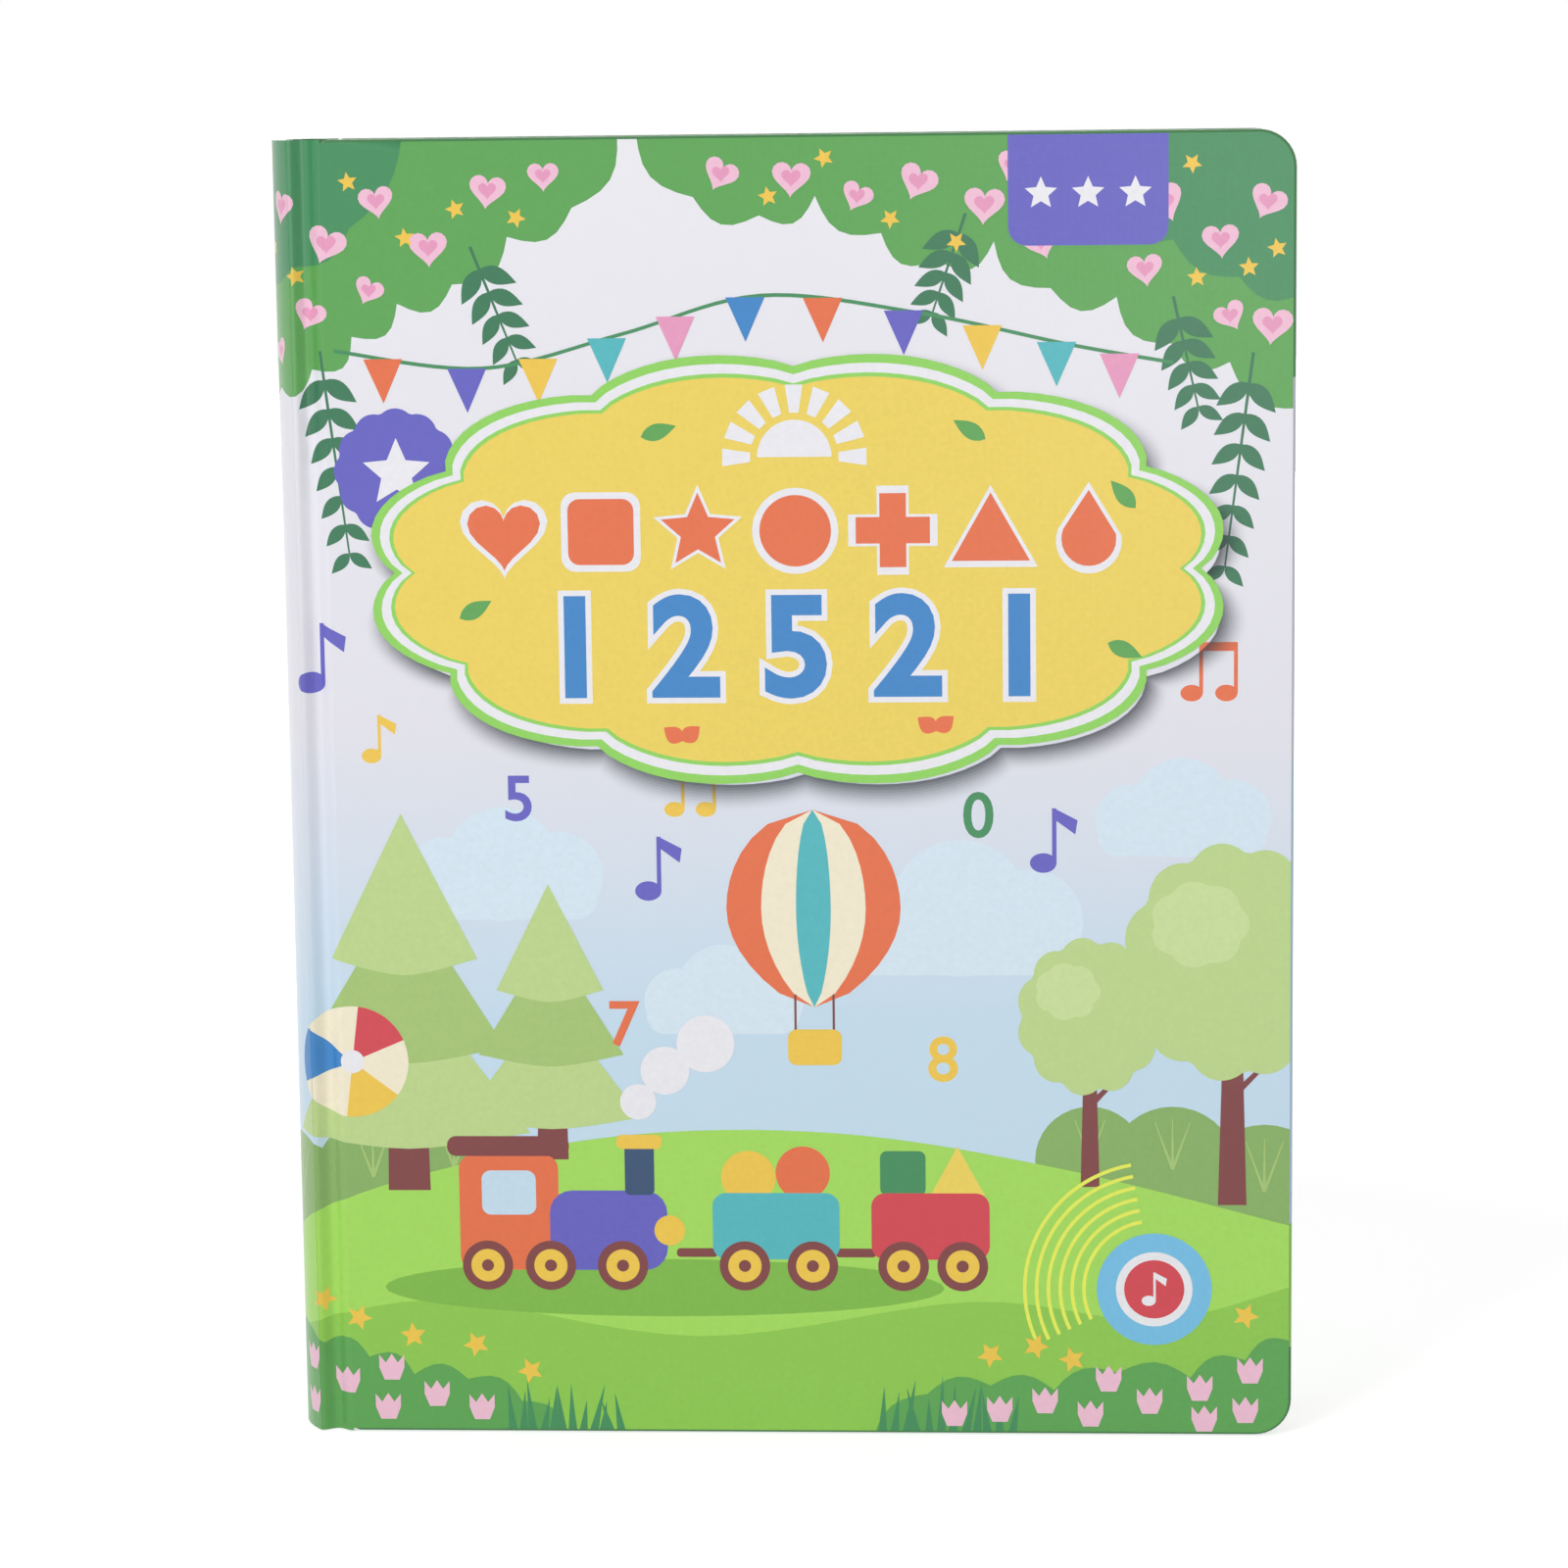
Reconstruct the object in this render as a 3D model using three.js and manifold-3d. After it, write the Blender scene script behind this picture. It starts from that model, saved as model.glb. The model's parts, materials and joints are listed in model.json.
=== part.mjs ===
// A child's hardback sound book, standing closed on its tail edge with the front cover towards -Y.
//
// The case is two stiff boards and a bowed spine. Ten thick card leaves are glued into the spine,
// and nine press keys sit in the face of the first leaf. A deep well board on the back cover
// holds a plastic sound module: loudspeaker, circuit board, slide switch and three AAA cells
// behind a screwed battery door that can be reached through a window in the back cover.
//
// Millimetres. +X runs from the spine to the fore-edge, +Y from front to back, +Z up.
// The origin is the middle of the foot of the whole book.

import * as THREE from "three";
import { mergeVertices } from "three/addons/utils/BufferGeometryUtils.js";
import Module from "manifold-3d";

const wasm = await Module();
wasm.setup();

// Driving dimensions of the case
const coverHeight = 285;
const boardWidth = 208;
const boardThickness = 2.8;
const boardEdgeRound = 0.6;
const coverCornerRadius = 8;
const coverSpineCorner = 1.6;
const jointWidth = 7.2;
const jointDepth = 2;
const jointThickness = 0.7;
const spineBow = 4.9;
const spineThickness = 2;
const spineShoulderDrop = 0.5;

// Driving dimensions of what the case holds
const square = 3;
const leafCount = 10;
const leafThickness = 0.85;
const leafGrooveWidth = 0.16;
const leafGrooveDepth = 0.5;
const pageCornerRadius = 6;
const liningThickness = 0.5;

// Clearances
const glueLine = 0.1;
const fit = 0.3;
const closedGap = 0.5;

// Press keys in the first leaf
const keyColumns = 3;
const keyRows = 3;
const keyRadius = 7.5;
const keyThickness = 0.5;
const keyCrown = 0.3;
const keyRaised = 0.2;
const keyTravel = 0.4;
const keyPitchX = 62;
const keyPitchZ = 84;

// Sound module
const moduleX = 22;
const moduleZ = 92;
const moduleCornerRadius = 6;
const moduleFlange = 2;
const moduleRecess = 0.3;
const mouldedWall = 1.6;
const lidThickness = 1.2;
const lidRecess = 0.2;

// Cells and their bay
const cellRadius = 5.15;
const cellLength = 44.5;
const cellNubRadius = 1.9;
const cellNubLength = 0.9;
const cellCount = 3;
const cellPitch = 10.7;
const springLength = 3.6;
const springWire = 0.3;
const springRadius = 3.2;
const springTurns = 3;
const contactThickness = 0.4;
const contactSize = 7;
const tagReach = 2;
const bayWall = 1.2;
const cellClearance = 0.4;

// Battery door
const doorThickness = 1.4;
const doorTabWidth = 4;
const doorTabReach = 2;
const doorTabThickness = 1;
const doorEarRadius = 4;
const doorGripCount = 4;
const doorGripHalf = 7;

// Screws
const screwHeadRadius = 2.2;
const screwHeadHeight = 1;
const screwShankRadius = 1;
const doorScrewReach = 4.1;
const lidScrewLength = 6;
const screwBossRadius = 2.7;
const slotWidth = 0.6;
const slotDepth = 0.5;

// Loudspeaker
const speakerRadius = 20;
const speakerFlange = 3.5;
const speakerFlangeThickness = 1;
const speakerBasketDepth = 4.6;
const speakerBasketWall = 0.8;
const magnetRadius = 9;
const magnetDepth = 3.4;
const gasketThickness = 0.8;
const grilleHole = 1.15;
const grillePitch = 5;
const grilleRings = 3;

// Circuit board and switch
const pcbWidth = 50;
const pcbHeight = 20;
const pcbThickness = 1;
const pcbDepth = 7.6;
const chipRadius = 4.5;
const chipHeight = 1.5;
const ribbonWidth = 12;
const ribbonThickness = 0.3;
const switchWidth = 10;
const switchHeight = 4;
const switchBodyDepth = 3.4;
const switchTravel = 4;
const leverSize = 1.4;
const thumbWidth = 4;
const thumbHeight = 2.6;
const leadRadius = 0.5;
const leadStep = 4;

// Room left between the module's parts
const speakerMargin = 2.4;
const speakerToBay = 24.5;
const earMargin = 0.4;
const pcbTopMargin = 2.7;
const pcbSideMargin = 1.9;
const postMargin = 0.6;
const socketInset = 8;

// The module is as large as what it holds
const bayLength = 2 * contactThickness + 4 * glueLine + cellLength + springLength;
const bayHeight = cellCount * cellPitch;
const leadRoom = tagReach + 2 * (leadRadius + fit);
const earReach = screwBossRadius + fit + doorEarRadius + earMargin;
const moduleRim = 2 * (mouldedWall + moduleFlange);
const moduleWidth =
  moduleRim + speakerMargin + 2 * speakerRadius + speakerToBay + bayLength + bayWall + earReach;
const moduleHeight = moduleRim + 2 * bayWall + bayHeight + leadRoom + pcbHeight + pcbTopMargin;
const lidInnerDepth = doorThickness + glueLine + 2 * (cellRadius + cellClearance);
const lidOuterDepth = lidInnerDepth + lidThickness;
const wellThickness = lidOuterDepth + lidRecess + moduleRecess - boardThickness - glueLine;

// Where the case lies, worked out from the sizes above
const caseWidth = boardWidth + jointWidth + spineBow;
const spineX = -caseWidth / 2;
const foreEdgeX = caseWidth / 2;
const shoulderX = spineX + spineBow;
const boardX = shoulderX + jointWidth;
const pagesThickness = leafCount * leafThickness;
const caseThickness =
  2 * boardThickness + 3 * glueLine + 2 * liningThickness + closedGap + pagesThickness + fit + wellThickness;
const frontY = -caseThickness / 2;
const backY = caseThickness / 2;
const liningFrontY = frontY + boardThickness + glueLine;
const pagesFrontY = liningFrontY + liningThickness + closedGap;
const pagesBackY = pagesFrontY + pagesThickness;
const backLiningY = pagesBackY + fit;
const wellFrontY = backLiningY + liningThickness + glueLine;
const wellBackY = wellFrontY + wellThickness;
const pageTop = coverHeight - square;
const pageForeEdgeX = foreEdgeX - square;
const spineHalfChord = caseThickness / 2 - spineShoulderDrop;
const spineRadius = (spineHalfChord ** 2 + spineBow ** 2) / (2 * spineBow);
const spineCentreX = spineX + spineRadius;

// Where the module's parts lie. Depths are measured inwards from its outer face.
const moduleFaceY = backY - moduleRecess;
const atDepth = (depth) => moduleFaceY - depth;
const flangeDepth = moduleFaceY - (backY - boardThickness - glueLine);
const wallEndDepth = lidInnerDepth - glueLine;
const faceHalfWidth = moduleWidth / 2 - moduleFlange;
const faceHalfHeight = moduleHeight / 2 - moduleFlange;
const innerHalfWidth = faceHalfWidth - mouldedWall;
const innerHalfHeight = faceHalfHeight - mouldedWall;
const speakerCentreX = -innerHalfWidth + speakerMargin + speakerRadius;
const bayLeft = speakerCentreX + speakerRadius + speakerToBay;
const bayRight = bayLeft + bayLength;
const bayBottom = -innerHalfHeight + bayWall;
const bayTop = bayBottom + bayHeight;
const cellDepth = doorThickness + glueLine + cellClearance + cellRadius;
const doorEarX = bayRight + bayWall + screwBossRadius + fit;
const doorMiddle = (bayBottom + bayTop) / 2;
const minusTagW = bayBottom + cellPitch / 2 + contactSize / 3;
const screwPostX = innerHalfWidth - screwBossRadius - postMargin;
const screwPostZ = innerHalfHeight - screwBossRadius - postMargin - fit;
const pcbLeft = screwPostX - screwBossRadius - pcbSideMargin - pcbWidth;
const pcbBottom = bayTop + bayWall + leadRoom;
const pcbMiddle = pcbBottom + pcbHeight / 2;
const pcbFrontDepth = pcbDepth + pcbThickness;
const switchX = pcbLeft + pcbWidth / 2;

// Finishes
function finish(colour, roughness, metalness = 0) {
  return new THREE.MeshStandardMaterial({ color: colour, roughness, metalness });
}

const laminatedPrint = finish(0x8fc46a, 0.35);
const pageCard = finish(0xf2efe8, 0.6);
const liningPaper = finish(0xf6d35b, 0.5);
const wellCard = finish(0xe9e4d8, 0.75);
const keyFilm = finish(0xd8404a, 0.4);
const whitePlastic = finish(0xf0f0ee, 0.45);
const greyPlastic = finish(0xbfc3c8, 0.5);
const darkPlastic = finish(0x2b2d31, 0.5);
const steel = finish(0xc9ccd0, 0.3, 1);
const springSteel = finish(0xdadde0, 0.25, 1);
const cellJacket = finish(0x3d9b8f, 0.35, 0.2);
const boardGreen = finish(0x1f6b45, 0.45);
const blackEpoxy = finish(0x15151a, 0.3);
const paperCone = finish(0x26262a, 0.8);
const foam = finish(0x3a3a3c, 0.95);
const ferrite = finish(0x55585c, 0.5, 0.3);
const amberFilm = finish(0xd98a2b, 0.35);
const redSleeve = finish(0xc8322e, 0.5);
const blackSleeve = finish(0x1d1d1f, 0.5);

// Solid helpers

function toSolid(geometry) {
  const bare = geometry.clone();
  bare.deleteAttribute("normal");
  bare.deleteAttribute("uv");
  const merged = mergeVertices(bare, 1e-4);
  return new wasm.Manifold(
    new wasm.Mesh({
      numProp: 3,
      vertProperties: merged.attributes.position.array,
      triVerts: new Uint32Array(merged.index.array),
    }),
  );
}

function toGeometry(solid) {
  const made = solid.getMesh();
  const indexed = new THREE.BufferGeometry();
  indexed.setAttribute("position", new THREE.BufferAttribute(made.vertProperties, 3));
  indexed.setIndex(new THREE.BufferAttribute(made.triVerts, 1));
  const flat = indexed.toNonIndexed();
  flat.computeVertexNormals();
  return flat;
}

function join(...geometries) {
  return toGeometry(geometries.map(toSolid).reduce((a, b) => a.add(b)));
}

function cut(geometry, ...tools) {
  return toGeometry(tools.map(toSolid).reduce((a, b) => a.subtract(b), toSolid(geometry)));
}

// Outlines are drawn in X and Z, and a sheet is one of them given a depth along Y.

function outline(x0, x1, z0, z1, spineCorner, foreCorner = spineCorner) {
  const shape = new THREE.Shape();
  shape.moveTo(x0 + spineCorner, z0);
  shape.lineTo(x1 - foreCorner, z0);
  if (foreCorner) shape.absarc(x1 - foreCorner, z0 + foreCorner, foreCorner, -Math.PI / 2, 0);
  shape.lineTo(x1, z1 - foreCorner);
  if (foreCorner) shape.absarc(x1 - foreCorner, z1 - foreCorner, foreCorner, 0, Math.PI / 2);
  shape.lineTo(x0 + spineCorner, z1);
  if (spineCorner) shape.absarc(x0 + spineCorner, z1 - spineCorner, spineCorner, Math.PI / 2, Math.PI);
  shape.lineTo(x0, z0 + spineCorner);
  if (spineCorner) shape.absarc(x0 + spineCorner, z0 + spineCorner, spineCorner, Math.PI, 1.5 * Math.PI);
  return shape;
}

function sheet(shape, y0, y1, edge = 0, curveSegments = 5) {
  const made = new THREE.ExtrudeGeometry(shape, {
    depth: y1 - y0 - 2 * edge,
    bevelEnabled: edge > 0,
    bevelThickness: edge,
    bevelSize: edge,
    bevelOffset: -edge,
    bevelSegments: 2,
    curveSegments,
  });
  made.translate(0, 0, edge - y1);
  return made.rotateX(Math.PI / 2);
}

function box(x0, x1, y0, y1, z0, z1) {
  const made = new THREE.BoxGeometry(x1 - x0, y1 - y0, z1 - z0);
  return made.translate((x0 + x1) / 2, (y0 + y1) / 2, (z0 + z1) / 2);
}

// A turned piece on an axis along Y. The profile's points are [radius, y], in order of rising y.
function turned(x, z, profile, segments = 24) {
  const points = profile.map(([radius, y]) => new THREE.Vector2(radius, y));
  return new THREE.LatheGeometry(points, segments).translate(x, 0, z);
}

function rod(x, z, radius, y0, y1, segments = 16) {
  return new THREE.CylinderGeometry(radius, radius, y1 - y0, segments).translate(x, (y0 + y1) / 2, z);
}

// The same helpers in the module's own coordinates: u and w from its middle, and depths from its face.

const moduleBox = (u0, u1, d0, d1, w0, w1) =>
  box(moduleX + u0, moduleX + u1, atDepth(d1), atDepth(d0), moduleZ + w0, moduleZ + w1);

const moduleRod = (u, w, radius, d0, d1, segments = 16) =>
  rod(moduleX + u, moduleZ + w, radius, atDepth(d1), atDepth(d0), segments);

const moduleTurned = (u, w, profile, segments = 24) =>
  turned(
    moduleX + u,
    moduleZ + w,
    profile.map(([radius, depth]) => [radius, atDepth(depth)]).reverse(),
    segments,
  );

function moduleOutline(halfWidth, halfHeight, radius) {
  return outline(
    moduleX - halfWidth,
    moduleX + halfWidth,
    moduleZ - halfHeight,
    moduleZ + halfHeight,
    radius,
  );
}

const moduleSheet = (shape, d0, d1) => sheet(shape, atDepth(d1), atDepth(d0));

const book = new THREE.Group();
book.name = "sound_book";

function place(name, geometry, material) {
  const mesh = new THREE.Mesh(geometry, material);
  mesh.name = name;
  book.add(mesh);
  return mesh;
}

// Case boards

function boardOutline() {
  return outline(boardX, foreEdgeX, 0, coverHeight, coverSpineCorner, coverCornerRadius);
}

function liningOutline() {
  return outline(boardX + glueLine, pageForeEdgeX, square, pageTop, 0, pageCornerRadius);
}

place(
  "front_cover",
  sheet(boardOutline(), frontY, frontY + boardThickness, boardEdgeRound),
  laminatedPrint,
);

place(
  "front_lining",
  sheet(liningOutline(), liningFrontY, liningFrontY + liningThickness),
  liningPaper,
);

const backBoard = boardOutline();
backBoard.holes.push(
  moduleOutline(faceHalfWidth + fit, faceHalfHeight + fit, moduleCornerRadius - moduleFlange + fit),
);
place("back_cover", sheet(backBoard, backY - boardThickness, backY, boardEdgeRound), laminatedPrint);

// Bowed spine, with the two thin joint strips that dip between it and the boards

function halfSpineLine() {
  const stripEnd = boardX - fit;
  const strip = [0, 0.16, 0.33, 0.5, 0.67, 0.84, 0.96].map((t) => {
    const dip = jointDepth * Math.sin(Math.PI * t) ** 2;
    return new THREE.Vector2(stripEnd - t * (stripEnd - shoulderX), frontY + jointThickness / 2 + dip);
  });
  const endAngle = Math.asin(spineHalfChord / spineRadius);
  const arcRadius = spineRadius - spineThickness / 2;
  const arc = [0.9, 0.7, 0.5, 0.25].map((t) => {
    const angle = t * endAngle;
    return new THREE.Vector2(spineCentreX - arcRadius * Math.cos(angle), -arcRadius * Math.sin(angle));
  });
  return [...strip, ...arc];
}

function spineSection() {
  const front = halfSpineLine();
  const middle = new THREE.Vector2(spineX + spineThickness / 2, 0);
  const back = front.map((p) => new THREE.Vector2(p.x, -p.y)).reverse();
  const line = [...front, middle, ...back];
  const outer = [];
  const inner = [];
  line.forEach((point, i) => {
    const before = line[Math.max(i - 1, 0)];
    const after = line[Math.min(i + 1, line.length - 1)];
    const along = after.clone().sub(before).normalize();
    const stiff = point.x < shoulderX;
    const half = (stiff ? spineThickness : jointThickness) / 2;
    const away = new THREE.Vector2(along.y, -along.x).multiplyScalar(half);
    outer.push(point.clone().sub(away));
    inner.push(point.clone().add(away));
  });
  return new THREE.Shape([...outer, ...inner.reverse()]);
}

place("spine", new THREE.ExtrudeGeometry(spineSection(), { depth: coverHeight, bevelEnabled: false }), laminatedPrint);

// Page block: ten leaves glued into one piece, a fine groove between each two at the edges

function leafRing(y, inset) {
  const arcRadius = spineRadius - spineThickness;
  const spineEdge = spineCentreX - Math.sqrt(arcRadius ** 2 - y ** 2) + fit;
  const shape = outline(
    spineEdge,
    pageForeEdgeX - inset,
    square + inset,
    pageTop - inset,
    0,
    pageCornerRadius - inset,
  );
  return shape.getPoints(5).slice(0, -1).map((p) => new THREE.Vector3(p.x, y, p.y));
}

function loft(rings) {
  const count = rings[0].length;
  const faces = THREE.ShapeUtils.triangulateShape(rings[0].map((p) => new THREE.Vector2(p.x, p.z)), []);
  const last = (rings.length - 1) * count;
  const index = [];
  faces.forEach(([a, b, c]) => {
    index.push(a, b, c);
    index.push(last + a, last + c, last + b);
  });
  for (let r = 0; r < rings.length - 1; r += 1) {
    for (let i = 0; i < count; i += 1) {
      const a = r * count + i;
      const b = r * count + ((i + 1) % count);
      index.push(a, b + count, b);
      index.push(a, a + count, b + count);
    }
  }
  const made = new THREE.BufferGeometry().setFromPoints(rings.flat());
  made.setIndex(index);
  return made;
}

function keyPlaces() {
  const middleX = (boardX + pageForeEdgeX) / 2;
  const middleZ = coverHeight / 2;
  const places = [];
  for (let row = 0; row < keyRows; row += 1) {
    for (let column = 0; column < keyColumns; column += 1) {
      places.push({
        x: middleX + (column - (keyColumns - 1) / 2) * keyPitchX,
        z: middleZ + ((keyRows - 1) / 2 - row) * keyPitchZ,
      });
    }
  }
  return places;
}

function pageBlock() {
  const rings = [];
  for (let leaf = 0; leaf < leafCount; leaf += 1) {
    const y = pagesFrontY + leaf * leafThickness;
    rings.push(leafRing(y, 0));
    const end = y + leafThickness;
    if (leaf < leafCount - 1) {
      rings.push(leafRing(end - leafGrooveWidth, 0));
      rings.push(leafRing(end - leafGrooveWidth / 2, leafGrooveDepth));
    } else {
      rings.push(leafRing(end, 0));
    }
  }
  const recessDepth = keyThickness + keyTravel + fit;
  const recesses = keyPlaces().map(({ x, z }) =>
    rod(x, z, keyRadius + fit, pagesFrontY - 1, pagesFrontY + recessDepth - keyRaised, 20),
  );
  return cut(loft(rings), ...recesses);
}

place("pages", pageBlock(), pageCard);

keyPlaces().forEach(({ x, z }, i) => {
  const face = pagesFrontY - keyRaised;
  const key = turned(
    x,
    z,
    [
      [0, face],
      [keyRadius * 0.85, face + keyCrown * 0.4],
      [keyRadius, face + keyCrown],
      [keyRadius, face + keyThickness],
      [0, face + keyThickness],
    ],
    20,
  );
  place(`page_key_${i + 1}`, key, keyFilm);
});

// Well board on the back cover, and the lining that closes it

const ribbonMiddle = pcbMiddle;
const ribbonChannelDepth = ribbonThickness + 2 * fit;

function wellBoard() {
  const shape = outline(boardX + fit, pageForeEdgeX, square, pageTop, 0, pageCornerRadius);
  shape.holes.push(
    moduleOutline(moduleWidth / 2 + fit, moduleHeight / 2 + fit, moduleCornerRadius + fit),
  );
  const channel = box(
    boardX - 1,
    moduleX,
    wellFrontY - 1,
    wellFrontY + ribbonChannelDepth,
    moduleZ + ribbonMiddle - ribbonWidth / 2 - fit,
    moduleZ + ribbonMiddle + ribbonWidth / 2 + fit,
  );
  return cut(sheet(shape, wellFrontY, wellBackY), channel);
}

place("module_well", wellBoard(), wellCard);
place("back_lining", sheet(liningOutline(), backLiningY, backLiningY + liningThickness), liningPaper);

// Moulded module base: stepped shell, battery bay, speaker rim, grille, posts and switch slot

const screwPosts = [
  [-screwPostX, -screwPostZ],
  [-screwPostX, screwPostZ],
  [screwPostX, -screwPostZ],
  [screwPostX, screwPostZ],
];
const postRadius = 1.5;
const pcbPosts = [
  [pcbLeft + 2.2, pcbBottom + pcbHeight - 2],
  [pcbLeft + pcbWidth - 2.2, pcbBottom + pcbHeight - 2],
  [pcbLeft + pcbWidth * 0.66, pcbBottom + 2],
];
const doorTabPlaces = [bayBottom + cellPitch, bayTop - cellPitch];
const thumbRest = switchX - switchTravel / 2;

function grilleHoles() {
  const holes = [moduleRod(speakerCentreX, 0, grilleHole, -1, mouldedWall + 1, 8)];
  for (let ring = 1; ring <= grilleRings; ring += 1) {
    const count = 6 * ring;
    for (let i = 0; i < count; i += 1) {
      const angle = (2 * Math.PI * i) / count;
      const u = speakerCentreX + ring * grillePitch * Math.cos(angle);
      const w = ring * grillePitch * Math.sin(angle);
      holes.push(moduleRod(u, w, grilleHole, -1, mouldedWall + 1, 8));
    }
  }
  return holes;
}

function tagSlot(u0, u1, w0, w1) {
  return moduleBox(u0, u1, cellDepth - 1.2, cellDepth + 1.2, w0, w1);
}

function moduleBase() {
  const corner = moduleCornerRadius - moduleFlange;
  const nose = moduleSheet(moduleOutline(faceHalfWidth, faceHalfHeight, corner), 0, flangeDepth + 1);
  const body = moduleSheet(
    moduleOutline(moduleWidth / 2, moduleHeight / 2, moduleCornerRadius),
    flangeDepth,
    wallEndDepth,
  );
  const hollowNose = moduleSheet(
    moduleOutline(innerHalfWidth, innerHalfHeight, corner - mouldedWall),
    mouldedWall,
    wallEndDepth + 1,
  );
  const hollowBody = moduleSheet(
    moduleOutline(innerHalfWidth + moduleFlange, innerHalfHeight + moduleFlange, corner),
    flangeDepth + mouldedWall,
    wallEndDepth + 1,
  );
  const shell = cut(join(nose, body), hollowNose, hollowBody);

  const bayOuter = moduleBox(
    bayLeft - bayWall,
    bayRight + bayWall,
    doorThickness + glueLine,
    wallEndDepth,
    bayBottom - bayWall,
    bayTop + bayWall,
  );
  const rim = moduleRod(speakerCentreX, 0, speakerRadius + fit + bayWall, mouldedWall - 0.2, mouldedWall + 2.6, 28);
  const rimBore = moduleRod(speakerCentreX, 0, speakerRadius + fit, mouldedWall, mouldedWall + 4, 28);
  const posts = screwPosts.map(([u, w]) => moduleRod(u, w, screwBossRadius, mouldedWall - 0.2, wallEndDepth, 14));
  const pcbStands = pcbPosts.map(([u, w]) => moduleRod(u, w, postRadius, mouldedWall - 0.2, pcbDepth - glueLine, 12));
  const doorBoss = moduleBox(
    bayRight,
    doorEarX + screwBossRadius,
    doorThickness + screwHeadHeight + 2 * fit,
    doorThickness + doorScrewReach + 2,
    doorMiddle - screwBossRadius,
    doorMiddle + screwBossRadius,
  );
  const filled = join(shell, bayOuter, rim, ...posts, ...pcbStands, doorBoss);

  const doorOpening = moduleBox(
    bayLeft - bayWall,
    bayRight + bayWall,
    -1,
    doorThickness + glueLine,
    bayBottom - bayWall,
    bayTop + bayWall,
  );
  const earOpening = moduleRod(doorEarX, doorMiddle, doorEarRadius + fit, -1, mouldedWall + fit, 20);
  const earPassage = moduleBox(
    bayRight,
    doorEarX,
    -1,
    mouldedWall + fit,
    doorMiddle - doorEarRadius - fit,
    doorMiddle + doorEarRadius + fit,
  );
  const earClearance = moduleBox(
    doorEarX - screwHeadRadius - 1,
    doorEarX + screwBossRadius + 1,
    mouldedWall,
    doorThickness + screwHeadHeight + 2 * fit,
    doorMiddle - screwBossRadius - fit,
    doorMiddle + screwBossRadius + fit,
  );
  const bay = moduleBox(bayLeft, bayRight, -1, wallEndDepth + 1, bayBottom, bayTop);
  const tabNotches = doorTabPlaces.map((w) =>
    moduleBox(
      bayLeft - bayWall - fit,
      bayLeft + 1,
      doorThickness,
      mouldedWall + doorTabThickness + 1.4,
      w - doorTabWidth / 2 - fit,
      w + doorTabWidth / 2 + fit,
    ),
  );
  const tagSlots = [
    tagSlot(bayLeft - fit, bayLeft + contactThickness + 2 * fit, bayTop - 1, bayTop + bayWall + 1),
    tagSlot(bayRight - 1, bayRight + bayWall + 1, minusTagW - 1.2, minusTagW + 1.2),
  ];
  const pilots = screwPosts.map(([u, w]) =>
    moduleRod(u, w, screwShankRadius + fit, wallEndDepth - lidScrewLength, wallEndDepth + 1, 10),
  );
  const doorPilot = moduleRod(doorEarX, doorMiddle, screwShankRadius + 0.45, 0, doorThickness + doorScrewReach + 1, 14);
  const thumbSlot = moduleBox(
    switchX - (thumbWidth + switchTravel) / 2 - fit,
    switchX + (thumbWidth + switchTravel) / 2 + fit,
    -1,
    mouldedWall + 1,
    pcbMiddle - thumbHeight / 2 - fit,
    pcbMiddle + thumbHeight / 2 + fit,
  );
  const thumbDish = moduleSheet(
    outline(
      moduleX + switchX - thumbWidth - switchTravel,
      moduleX + switchX + thumbWidth + switchTravel,
      moduleZ + pcbMiddle - thumbHeight,
      moduleZ + pcbMiddle + thumbHeight,
      thumbHeight,
    ),
    -1,
    mouldedWall / 2,
  );
  return cut(
    filled,
    rimBore,
    doorOpening,
    earOpening,
    earPassage,
    earClearance,
    bay,
    ...tabNotches,
    ...tagSlots,
    ...pilots,
    doorPilot,
    thumbSlot,
    thumbDish,
    ...grilleHoles(),
  );
}

place("module_base", moduleBase(), whitePlastic);

// Module lid, with cell ribs, pins that hold the circuit board down, and a slot for the key ribbon

const ribbonSlotX = pcbLeft - 6;

function moduleLid() {
  const plate = moduleSheet(
    moduleOutline(moduleWidth / 2, moduleHeight / 2, moduleCornerRadius),
    lidInnerDepth,
    lidOuterDepth,
  );
  const ribs = [1, 2].map((i) => {
    const w = bayBottom + i * cellPitch;
    return moduleBox(bayLeft + 4, bayRight - 4, lidInnerDepth - 1.6, lidInnerDepth + 0.2, w - 0.4, w + 0.4);
  });
  const pins = pcbPosts.map(([u, w]) =>
    moduleRod(u, w, postRadius, pcbFrontDepth + glueLine, lidInnerDepth + 0.2, 12),
  );
  const screwHoles = screwPosts.map(([u, w]) =>
    moduleRod(u, w, screwShankRadius + fit, lidInnerDepth - 1, lidOuterDepth + 1, 12),
  );
  const headSeats = screwPosts.map(([u, w]) =>
    moduleRod(u, w, screwHeadRadius + fit, lidOuterDepth - screwHeadHeight * 0.6, lidOuterDepth + 1, 18),
  );
  const ribbonSlot = moduleBox(
    ribbonSlotX - 1.5,
    ribbonSlotX + 1.5,
    lidInnerDepth - 1,
    lidOuterDepth + 1,
    ribbonMiddle - ribbonWidth / 2 - fit,
    ribbonMiddle + ribbonWidth / 2 + fit,
  );
  const ribbonDish = moduleBox(
    -moduleWidth / 2 - 1,
    ribbonSlotX,
    lidOuterDepth - ribbonThickness - fit,
    lidOuterDepth + 1,
    ribbonMiddle - ribbonWidth / 2 - fit,
    ribbonMiddle + ribbonWidth / 2 + fit,
  );
  return cut(join(plate, ...ribs, ...pins), ...screwHoles, ...headSeats, ribbonSlot, ribbonDish);
}

place("module_lid", moduleLid(), greyPlastic);

// Screws: turned shank and head, with a cross cut in the head

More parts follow.
